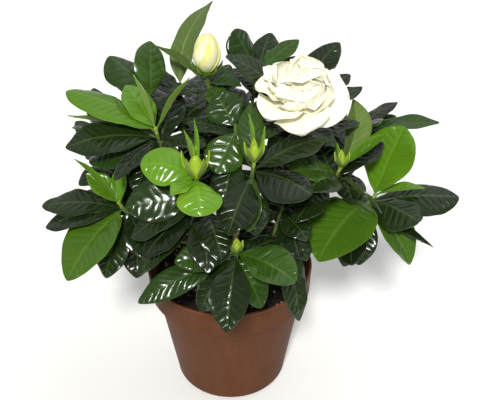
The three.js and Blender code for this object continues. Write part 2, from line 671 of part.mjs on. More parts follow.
// The pot: a turned shell with a broad rim band, drain holes in its floor and notches in its foot
function potGeometry() {
  const bandFoot = POT_HEIGHT - BAND_HEIGHT;
  const outline = [[0, 0]];
  for (let i = 0; i <= ROUNDING_STEPS; i += 1) {
    const turn = (Math.PI / 2) * (i / ROUNDING_STEPS);
    outline.push([
      BASE_RADIUS - BASE_ROUNDING + BASE_ROUNDING * Math.sin(turn),
      BASE_ROUNDING - BASE_ROUNDING * Math.cos(turn),
    ]);
  }
  outline.push(
    [BODY_TOP_RADIUS, bandFoot], [RIM_RADIUS - LIP, bandFoot + LIP], [RIM_RADIUS, POT_HEIGHT - LIP],
    [RIM_RADIUS - LIP / 2, POT_HEIGHT], [RIM_RADIUS - WALL, POT_HEIGHT],
    [innerRadius(bandFoot + 2 * WALL), bandFoot + 2 * WALL], [innerRadius(BASE_ROUNDING), BASE_ROUNDING],
    [innerRadius(BASE_ROUNDING) - BASE_ROUNDING + FLOOR, FLOOR], [0, FLOOR],
  );
  let pot = toSolid(turned(outline));
  for (let k = 0; k < DRAIN_HOLES; k += 1) {
    const turn = (2 * Math.PI * (k + 0.5)) / DRAIN_HOLES;
    const hole = new THREE.CylinderGeometry(
      DRAIN_HOLE_RADIUS, DRAIN_HOLE_RADIUS, 4 * FLOOR, DRAIN_HOLE_SIDES,
    );
    hole.rotateX(Math.PI / 2);
    hole.translate(
      DRAIN_CIRCLE_RADIUS * Math.cos(turn),
      DRAIN_CIRCLE_RADIUS * Math.sin(turn),
      0,
    );
    pot = pot.subtract(toSolid(hole));
  }
  for (let k = 0; k < FOOT_NOTCHES; k += 1) {
    const notch = new THREE.BoxGeometry(FOOT_NOTCH_DEPTH * 2, FOOT_NOTCH_WIDTH, FOOT_NOTCH_HEIGHT * 2);
    notch.translate(BASE_RADIUS, 0, 0);
    notch.rotateZ(FOOT_NOTCH_TURN + (2 * Math.PI * k) / FOOT_NOTCHES);
    pot = pot.subtract(toSolid(notch));
  }
  return toGeometry(pot);
}

// Inner radius of the pot's wall at a level
function innerRadius(level) {
  const share = (level - BASE_ROUNDING) / (POT_HEIGHT - BAND_HEIGHT - BASE_ROUNDING);
  return BASE_RADIUS + (BODY_TOP_RADIUS - BASE_RADIUS) * share - WALL;
}

// The soil: it fills the pot to the middle of the rim band, a little higher at its middle, with a
// plain hole for each trunk
function soilGeometry() {
  const low = BASE_ROUNDING + LIP;
  const bandFoot = POT_HEIGHT - BAND_HEIGHT;
  const soilRadius = (level) => innerRadius(level) - GAP;
  const outline = [
    [0, FLOOR + GAP], [soilRadius(low) - BASE_ROUNDING + FLOOR, FLOOR + GAP], [soilRadius(low), low],
    [soilRadius(bandFoot), bandFoot], [soilRadius(bandFoot), SOIL_LEVEL - SOIL_CROWN],
    [soilRadius(bandFoot) / 2, SOIL_LEVEL + SOIL_CROWN], [0, SOIL_LEVEL + SOIL_CROWN],
  ];
  let soil = toSolid(turned(outline));
  for (const trunk of Object.values(TRUNKS)) {
    const path = trunkPath(trunk);
    const bottom = path.getPoint(0).add(new THREE.Vector3(0, 0, -GAP));
    const below = new THREE.LineCurve3(bottom, path.getPoint(1));
    const radius = TRUNK_RADIUS + HOLE_GAP;
    soil = soil.subtract(toSolid(stemGeometry(below, 0, 1, radius, radius, 1)));
  }
  return toGeometry(soil);
}

// A bud's radius at a share of its height
const budRadius = (share, radius, neck) => neck
  + (radius - neck) * Math.sin(Math.PI * share ** BUD_BELLY) ** BUD_FULLNESS;

// A bud: rings whose radius swells and closes again, with folded petals that wind round it
function budGeometry(base, radius, height, neck, folds, sides, steps) {
  const rings = [];
  for (let i = 0; i < steps; i += 1) {
    const h = i / steps;
    const swell = budRadius(h, radius, neck);
    const ring = [];
    for (let k = 0; k < sides; k += 1) {
      const turn = (2 * Math.PI * k) / sides;
      const relief = CREAM_BUD_RELIEF * Math.cos(folds * (turn - CREAM_BUD_WIND * h));
      const wound = folds ? 1 + relief : 1;
      ring.push(new THREE.Vector3(
        base.x + swell * wound * Math.cos(turn),
        base.y + swell * wound * Math.sin(turn),
        base.z + height * h,
      ));
    }
    rings.push(ring);
  }
  return loft(rings, base.clone().add(new THREE.Vector3(0, 0, height)));
}

// Calyx lobes that rise round a bud, steeper towards their tips
function calyxLobes(base, spread, length, width, startPitch) {
  return Array.from({ length: CALYX_LOBES }, (_, k) => {
    const heading = (360 * k) / CALYX_LOBES + CALYX_TURN;
    return {
      base: base.clone().addScaledVector(direction(heading, 0), spread),
      heading,
      pitch: (startPitch + CALYX_END_PITCH) / 2,
      droop: startPitch - CALYX_END_PITCH,
      length,
      width,
      roll: 0,
      sweep: 0,
      form: 'lobe',
      phase: 0,
    };
  });
}

const toBlade = (base, row, index) => {
  const [, heading, pitch, length, width, droop, roll, sweep, form, colour] = row;
  const phase = (index * PHASE_STEP) % 1;
  return { base, heading, pitch, length, width, droop, roll, sweep, form, colour, phase };
};

// Rows for the leaves of a shoot's whorls, with a little of their own from the draw
function whorlRows(shoot, draw) {
  const rows = [];
  shoot.whorls.forEach((down, tier) => {
    const first = 360 * draw();
    for (let k = 0; k < WHORL_LEAVES; k += 1) {
      const size = 1 + WHORL_SIZE_SPREAD * (draw() - 0.5);
      rows.push([
        down + WHORL_DOWN_SPREAD * draw(),
        first + (180 * (2 * k + tier)) / WHORL_LEAVES + WHORL_TURN_SPREAD * (draw() - 0.5),
        WHORL_TOP_PITCH - WHORL_PITCH_LOSS * down + WHORL_PITCH_SPREAD * (draw() - 0.5),
        WHORL_LENGTH * size,
        WHORL_WIDTH * size,
        WHORL_DROOP + WHORL_DROOP_SPREAD * (draw() - 0.5),
        WHORL_ROLL_SPREAD * (draw() - 0.5),
        0,
        'plain',
        'dark',
      ]);
    }
  });
  return rows;
}

// Sample points on a level circle round the Z axis
function circleSamples(radius, level) {
  const count = Math.ceil((2 * Math.PI * radius) / SAMPLE_SPACING);
  return Array.from({ length: count }, (_, k) => new THREE.Vector3(
    radius * Math.cos((2 * Math.PI * k) / count),
    radius * Math.sin((2 * Math.PI * k) / count),
    level,
  ));
}

// Sample points along a stretch of a stem's path
function stemSamples(path, from, to) {
  return Array.from({ length: STEM_SAMPLES + 1 }, (_, k) => (
    path.getPoint(from + ((to - from) * k) / STEM_SAMPLES)
  ));
}

// Marks the pot's wall and the soil, every stem, the flower and the large bud
function markFixedParts(shoots) {
  for (let level = 0; level <= POT_HEIGHT; level += SAMPLE_SPACING) {
    const bandFoot = POT_HEIGHT - BAND_HEIGHT;
    const radius = level > bandFoot - WALL
      ? RIM_RADIUS - LIP : BASE_RADIUS + ((BODY_TOP_RADIUS - BASE_RADIUS) * level) / bandFoot;
    mark(circleSamples(radius, level), FIXED_BIT);
  }
  for (let radius = SAMPLE_SPACING; radius < RIM_RADIUS; radius += SAMPLE_SPACING) {
    mark(circleSamples(radius, SOIL_LEVEL + LIP), FIXED_BIT);
  }
  for (const trunk of Object.values(TRUNKS)) mark(stemSamples(trunkPath(trunk), 0, 1), FIXED_BIT);
  for (const { path, split, bit, youngBit } of shoots) {
    mark(stemSamples(path, 0, WOOD_SHARE), FIXED_BIT);
    mark(stemSamples(path, WOOD_SHARE, split), bit);
    if (split < 1) mark(stemSamples(path, split, 1), youngBit);
  }
  for (let level = 0; level <= CREAM_BUD_HEIGHT; level += SAMPLE_SPACING) {
    const radius = budRadius(level / CREAM_BUD_HEIGHT, CREAM_BUD_RADIUS, CREAM_BUD_NECK);
    mark(circleSamples(radius, level).map((p) => p.add(BUD_FOOT)), FIXED_BIT);
  }
  for (const petal of bloomPetals()) {
    mark(bladeSamples(petal, 0, PETAL_STATIONS).map(toBloomPlace), FIXED_BIT);
  }
}

const toBloomPlace = (p) => p.applyQuaternion(BLOOM_TURN).add(BLOOM_FOOT);

// Petals of the flower in its own frame, its axis along +Z
function bloomPetals() {
  const draw = drawer(BLOOM_SEED);
  const petals = [];
  const spread = (range) => range * (draw() - 0.5);
  for (const row of PETAL_ROWS) {
    const [count, first, pitch, length, width, droop, level, form] = row;
    for (let k = 0; k < count; k += 1) {
      petals.push({
        base: new THREE.Vector3(0, 0, level)
          .addScaledVector(direction(first + (360 * k) / count, 0), PETAL_START),
        heading: first + (360 * k) / count + spread(PETAL_DIRECTION_SPREAD),
        pitch: pitch + spread(PETAL_DIRECTION_SPREAD),
        length: length * (1 + spread(PETAL_SIZE_SPREAD)),
        width: width * (1 + spread(PETAL_SIZE_SPREAD)),
        droop: droop + spread(PETAL_DROOP_SPREAD),
        roll: PETAL_ROLL + spread(PETAL_ROLL_SPREAD),
        sweep: spread(PETAL_SWEEP_SPREAD),
        form,
        phase: draw(),
      });
    }
  }
  return petals;
}

const material = (colour, roughness) => new THREE.MeshStandardMaterial({ color: colour, roughness });

const plant = new THREE.Group();

function addNode(name, geometry, colour, roughness) {
  const mesh = new THREE.Mesh(geometry, material(colour, roughness));
  mesh.name = name;
  plant.add(mesh);
  return mesh;
}

addNode('pot', potGeometry(), POT_COLOUR, POT_ROUGHNESS);
addNode('soil', soilGeometry(), SOIL_COLOUR, SOIL_ROUGHNESS);

const isYoung = (leaf) => leaf.colour === 'young' || leaf.colour === 'bright';
const shoots = SHOOTS.map((shoot, index) => {
  const { path, reach } = shootPath(shoot);
  const hasYoung = shoot.leaves.some((row) => isYoung({ colour: row[9] }));
  return { ...shoot, path, reach, split: hasYoung ? 1 - YOUNG_REACH / reach : 1, bit: 1 << index };
});
shoots.filter((shoot) => shoot.split < 1).forEach((shoot, index) => {
  shoot.youngBit = 1 << (shoots.length + index);
});
markFixedParts(shoots);

// First every listed leaf finds its place, and then the whorls fill in
const draw = drawer(WHORL_SEED);
const alongStem = (shoot, down) => shoot.path.getPoint(1 - down / shoot.reach);
let leafCount = 0;
for (const shoot of shoots) {
  shoot.blades = [];
  for (const row of shoot.leaves) {
    leafCount += 1;
    const blade = placed(toBlade(alongStem(shoot, row[0]), row, leafCount), shoot);
    if (blade) shoot.blades.push(blade);
  }
}
for (const shoot of shoots) {
  for (const row of whorlRows(shoot, draw)) {
    if (1 - row[0] / shoot.reach < WOOD_SHARE + WHORL_WOOD_CLEARANCE) continue;
    leafCount += 1;
    const blade = placed(toBlade(alongStem(shoot, row[0]), row, leafCount), shoot);
    if (blade) shoot.blades.push(blade);
  }
}

for (const [name, trunk] of Object.entries(TRUNKS)) {
  const stems = [stemGeometry(trunkPath(trunk), 0, 1, TRUNK_RADIUS, TRUNK_TOP_RADIUS, 1)];
  for (const shoot of shoots.filter((one) => one.trunk === name)) {
    const end = WOOD_SHARE - GAP / 2 / shoot.reach;
    stems.push(stemGeometry(shoot.path, 0, end, BRANCH_RADIUS, GREEN_RADIUS, BRANCH_STEPS));
  }
  addNode(`trunk_${name}`, toGeometry(join(stems)), WOOD_COLOUR, WOOD_ROUGHNESS);
}

for (const shoot of shoots) {
  const young = shoot.blades.filter(isYoung);
  const old = shoot.blades.filter((blade) => !isYoung(blade));
  const { split } = shoot;
  const start = WOOD_SHARE + GAP / 2 / shoot.reach;
  const end = split < 1 ? split - GAP / shoot.reach : 1;
  const blades = (list) => list.map((blade) => bladeGeometry(blade, STATIONS));
  const oldStem = stemGeometry(shoot.path, start, end, GREEN_RADIUS, TIP_RADIUS, SHOOT_STEPS);
  const youngStem = stemGeometry(shoot.path, split, 1, TIP_RADIUS, TIP_RADIUS, 1);
  const oldSolids = [oldStem, ...blades(old)];
  const youngSolids = [youngStem, ...blades(young)];
  if (shoot.bud) (split < 1 ? youngSolids : oldSolids).push(...smallBud(shoot));
  if (shoot.name === 'top') oldSolids.push(...creamCalyx(shoot));
  addNode(`shoot_${shoot.name}`, toGeometry(join(oldSolids)), LEAF_COLOUR, LEAF_ROUGHNESS);
  if (split < 1) {
    addNode(`young_${shoot.name}`, toGeometry(join(youngSolids)), YOUNG_COLOUR, LEAF_ROUGHNESS);
  }
}

// A small green bud with its calyx at the tip of a shoot
function smallBud(shoot) {
  const [width, height] = shoot.bud;
  const foot = shoot.path.getPoint(1).add(new THREE.Vector3(0, 0, -SMALL_BUD_SINK));
  const lobes = calyxLobes(
    foot, SMALL_LOBE_SPREAD, height * SMALL_LOBE_SHARE, SMALL_LOBE_WIDTH, SMALL_LOBE_START_PITCH,
  );
  return [
    budGeometry(
      foot, width * SMALL_BUD_SHARE, height, TIP_RADIUS, 0, SMALL_BUD_SIDES, SMALL_BUD_STEPS,
    ),
    ...lobes.map((lobe) => bladeGeometry(lobe, LOBE_STATIONS)),
  ];
}

// The green cup and lobes below the large bud
function creamCalyx(shoot) {
  const tip = shoot.path.getPoint(1);
  const cup = new THREE.CylinderGeometry(
    CALYX_CUP_RADIUS, TIP_RADIUS, CALYX_CUP_HEIGHT, CALYX_CUP_SIDES,
  );
  cup.rotateX(Math.PI / 2);
  cup.translate(tip.x, tip.y, tip.z - CALYX_SINK + CALYX_CUP_HEIGHT / 2);
  const brim = new THREE.Vector3(tip.x, tip.y, tip.z - 2 * CALYX_SINK + CALYX_CUP_HEIGHT);
  const lobes = calyxLobes(
    brim, CALYX_CUP_RADIUS - BLADE, CALYX_LOBE_LENGTH, CALYX_LOBE_WIDTH, CALYX_START_PITCH,
  );
  return [cup, ...lobes.map((lobe) => bladeGeometry(lobe, LOBE_STATIONS))];
}

const creamBud = budGeometry(
  BUD_FOOT, CREAM_BUD_RADIUS, CREAM_BUD_HEIGHT, CREAM_BUD_NECK, CREAM_BUD_FOLDS, CREAM_BUD_SIDES,
  CREAM_BUD_STEPS,
);
addNode('cream_bud', creamBud, CREAM_COLOUR, PETAL_ROUGHNESS);

// The flower: its open petals stand round a heart of closed ones
const heart = budGeometry(
  new THREE.Vector3(0, 0, -HEART_SINK), HEART_RADIUS, HEART_HEIGHT, TIP_RADIUS, 0, HEART_SIDES,
  HEART_STEPS,
);
const petals = bloomPetals().slice(0, OPEN_PETALS)
  .map((petal) => bladeGeometry(petal, PETAL_STATIONS));
const bloom = join([heart, ...petals], PETAL_TOLERANCE);
const flower = addNode('flower', toGeometry(bloom), PETAL_COLOUR, PETAL_ROUGHNESS);
flower.quaternion.copy(BLOOM_TURN);
flower.position.copy(BLOOM_FOOT);

export default plant;
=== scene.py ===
# Gardenia in bloom in a plain nursery pot, dressed around the fixed frame.
# The growth rule works in millimetres, and the meshes that come of it are in metres.
import math

import bpy
import numpy as np
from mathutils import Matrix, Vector


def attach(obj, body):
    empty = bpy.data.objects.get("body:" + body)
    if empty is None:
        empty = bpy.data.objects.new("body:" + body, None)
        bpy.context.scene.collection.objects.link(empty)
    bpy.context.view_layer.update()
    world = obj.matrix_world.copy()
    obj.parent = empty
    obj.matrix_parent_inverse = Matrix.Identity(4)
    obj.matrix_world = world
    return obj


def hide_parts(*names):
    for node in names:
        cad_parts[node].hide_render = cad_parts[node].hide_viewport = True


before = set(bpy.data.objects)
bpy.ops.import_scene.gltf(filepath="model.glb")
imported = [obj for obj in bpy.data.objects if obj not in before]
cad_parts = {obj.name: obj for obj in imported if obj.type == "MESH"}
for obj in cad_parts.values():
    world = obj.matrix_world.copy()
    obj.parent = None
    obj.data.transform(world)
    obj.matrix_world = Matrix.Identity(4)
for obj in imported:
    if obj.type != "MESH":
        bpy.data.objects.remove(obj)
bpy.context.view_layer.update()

MM = 0.001
TURN = 2 * np.pi
RIPPLE_STRETCH = (0.6, 1.7)

# Camera at the photograph's viewing angle
CAMERA_PITCH = 34
CAMERA_DISTANCE = 682
CAMERA_AIM = (16, 0, 169)
CAMERA_LENS = 64.8

# Pot and soil
RIM_RADIUS = 65
POT_HEIGHT = 110
BAND_HEIGHT = 22
BODY_TOP_RADIUS = 58.6
BASE_RADIUS = 45
BASE_ROUNDING = 8
WALL = 2
FLOOR = 3
DRAIN_HOLES = 6
DRAIN_HOLE_RADIUS = 5
DRAIN_CIRCLE_RADIUS = 30
FOOT_NOTCHES = 4
FOOT_NOTCH_WIDTH = 16
FOOT_NOTCH_HEIGHT = 3
FOOT_NOTCH_TURN = -92
LIP = 1
SOIL_LEVEL = 99
SOIL_CROWN = 1.5
GAP = 0.3

# Wood, green stems and blades
TRUNK_RADIUS = 3
TRUNK_TOP_RADIUS = 2.3
TRUNK_FOOT_LEVEL = 72
BRANCH_RADIUS = 1.9
GREEN_RADIUS = 1.5
TIP_RADIUS = 1.1
WOOD_SHARE = 0.5
YOUNG_REACH = 5
PETIOLE = 0.07
PETIOLE_HALF_WIDTH = 0.7
FORK_LEVEL = 118
FORK_RISE = 0.3
LOW_TIP_LEVEL = 160
STEM_LEAN = 0.6
STEM_UPTURN = 0.5

# Shares of a blade's length where its solid has a section: a leaf and a petal
STATIONS = (0, 0.36, 0.76)
PETAL_STATIONS = (0, 0.35, 0.7)

# Shape of a blade: the usual power of its fold, the waves of its edge, how late its point starts
FOLD_POWER = 1.3
WAVES_PER_BLADE = 2.2
WAVE_SHIFT = 1.5
FULL_WAVE_HALF_WIDTH = 8
POINT_POWER = 10

# Buds: a sine bump, full below the middle; the large one is wound with rolled petals
BUD_BELLY = 0.85
BUD_FULLNESS = 0.8
BUD_FOOT = np.array((-15.0, 28, 263.5))
CREAM_BUD_RADIUS = 10
CREAM_BUD_HEIGHT = 27
CREAM_BUD_NECK = 4
CREAM_BUD_FOLDS = 5
CREAM_BUD_WIND = 1.6
CREAM_BUD_COLUMNS = 140
CREAM_BUD_ROWS = 90
FOLD_EDGE = 0.12
FOLD_LOW = 0.94
FOLD_RISE = 0.12
FOLD_LIFT = 0.02
SMALL_BUD_SINK = 0.8
SMALL_BUD_SHARE = 0.4
SMALL_BUD_COLUMNS = 20
SMALL_BUD_ROWS = 16
SMALL_BUD_FOLD = 0.08
SMALL_BUD_WIND = 3

# Lobes of the green calyx that rise round a bud, and the cup below the large one
CALYX_LOBES = 5
CALYX_TURN = 20
CALYX_END_PITCH = 86
CUP_RADIUS = 6.2
CUP_HEIGHT = 4.2
CUP_SINK = 0.5
CUP_FULLNESS = 0.8
CUP_ROWS = 8
CUP_COLUMNS = 24
CUP_AGE = 0.6
CUP_LOBE = dict(spread=CUP_RADIUS - 0.9, length=12, width=4, start_pitch=10, age=0.55)
SMALL_LOBE = dict(spread=0.2, width=5.4, start_pitch=44, age=1.0)
SMALL_LOBE_SHARE = 1.35

# Flower: its place and axis, its heart, and what each petal has of its own from the draw
BLOOM_FOOT = np.array((51, 0, 250))
BLOOM_AXIS = Vector((0.06, -0.3, 0.95)).normalized()
BLOOM_TURN = np.array(Vector((0, 0, 1)).rotation_difference(BLOOM_AXIS).to_matrix())
BLOOM_HEART_RADIUS = 5
HEART_END = 0.03
HEART_ROWS = 16
HEART_COLUMNS = 24
BLOOM_SEED = 11
PETAL_START = 3
PETAL_ROLL = 17
PETAL_DIRECTION_SPREAD = 10
PETAL_SIZE_SPREAD = 0.16
PETAL_DROOP_SPREAD = 16
PETAL_ROLL_SPREAD = 6
PETAL_SWEEP_SPREAD = 24
# Rings of petals: (count, first heading, pitch, length, width, droop, level above the foot, form)
PETAL_ROWS = (
    (7, 12, 14, 38, 40, 50, 0, "petal"),
    (6, 30, 50, 35, 36, -62, 2, "bowl"),
    (5, 5, 60, 28, 30, -78, 3, "bowl"),
    (4, 40, 68, 21, 23, -90, 4, "bowl"),
    (2, 10, 76, 15, 18, -96, 5, "bowl"),
)

# Forms of blades: fold across in degrees (below zero it is domed) and the power by which it grows
# outward, the height of the edge's waves, and belly, taper and point of the half width
FORMS = {
    "waved": dict(fold=10, wave=0.9, belly=1.25, taper=0.58, point=0.3),
    "domed": dict(fold=-16, wave=0.4, belly=1.3, taper=0.5, point=0.15),
    "cupped": dict(fold=20, wave=0.5, belly=1.1, taper=0.75, point=0.4),
    "folded": dict(fold=50, wave=0, belly=1.05, taper=0.9, point=0.3),
    "plain": dict(fold=0, wave=0.8, belly=1.22, taper=0.6, point=0.3),
    "lobe": dict(fold=0, wave=0, belly=0.8, taper=0.8, point=0.2),
    "round": dict(fold=-14, wave=0.4, belly=1.35, taper=0.48, point=0),
    "oval": dict(fold=8, wave=0.6, belly=0.98, taper=0.62, point=0.35),
    "petal": dict(fold=8, wave=1.4, belly=1.35, taper=0.5, point=0, power=2),
    "bowl": dict(fold=24, wave=0.8, belly=1.25, taper=0.52, point=0, power=2),
}

# Four woody stems stand in the soil: foot (x, y) and top (x, y, z)
TRUNKS = {
    "left": dict(foot=(-14, -2), top=(-26, 4, 148)),
    "right": dict(foot=(15, -4), top=(27, -6, 148)),
    "front": dict(foot=(1, -19), top=(-1, -31, 148)),
    "back": dict(foot=(1, 19), top=(0, 28, 150)),
}

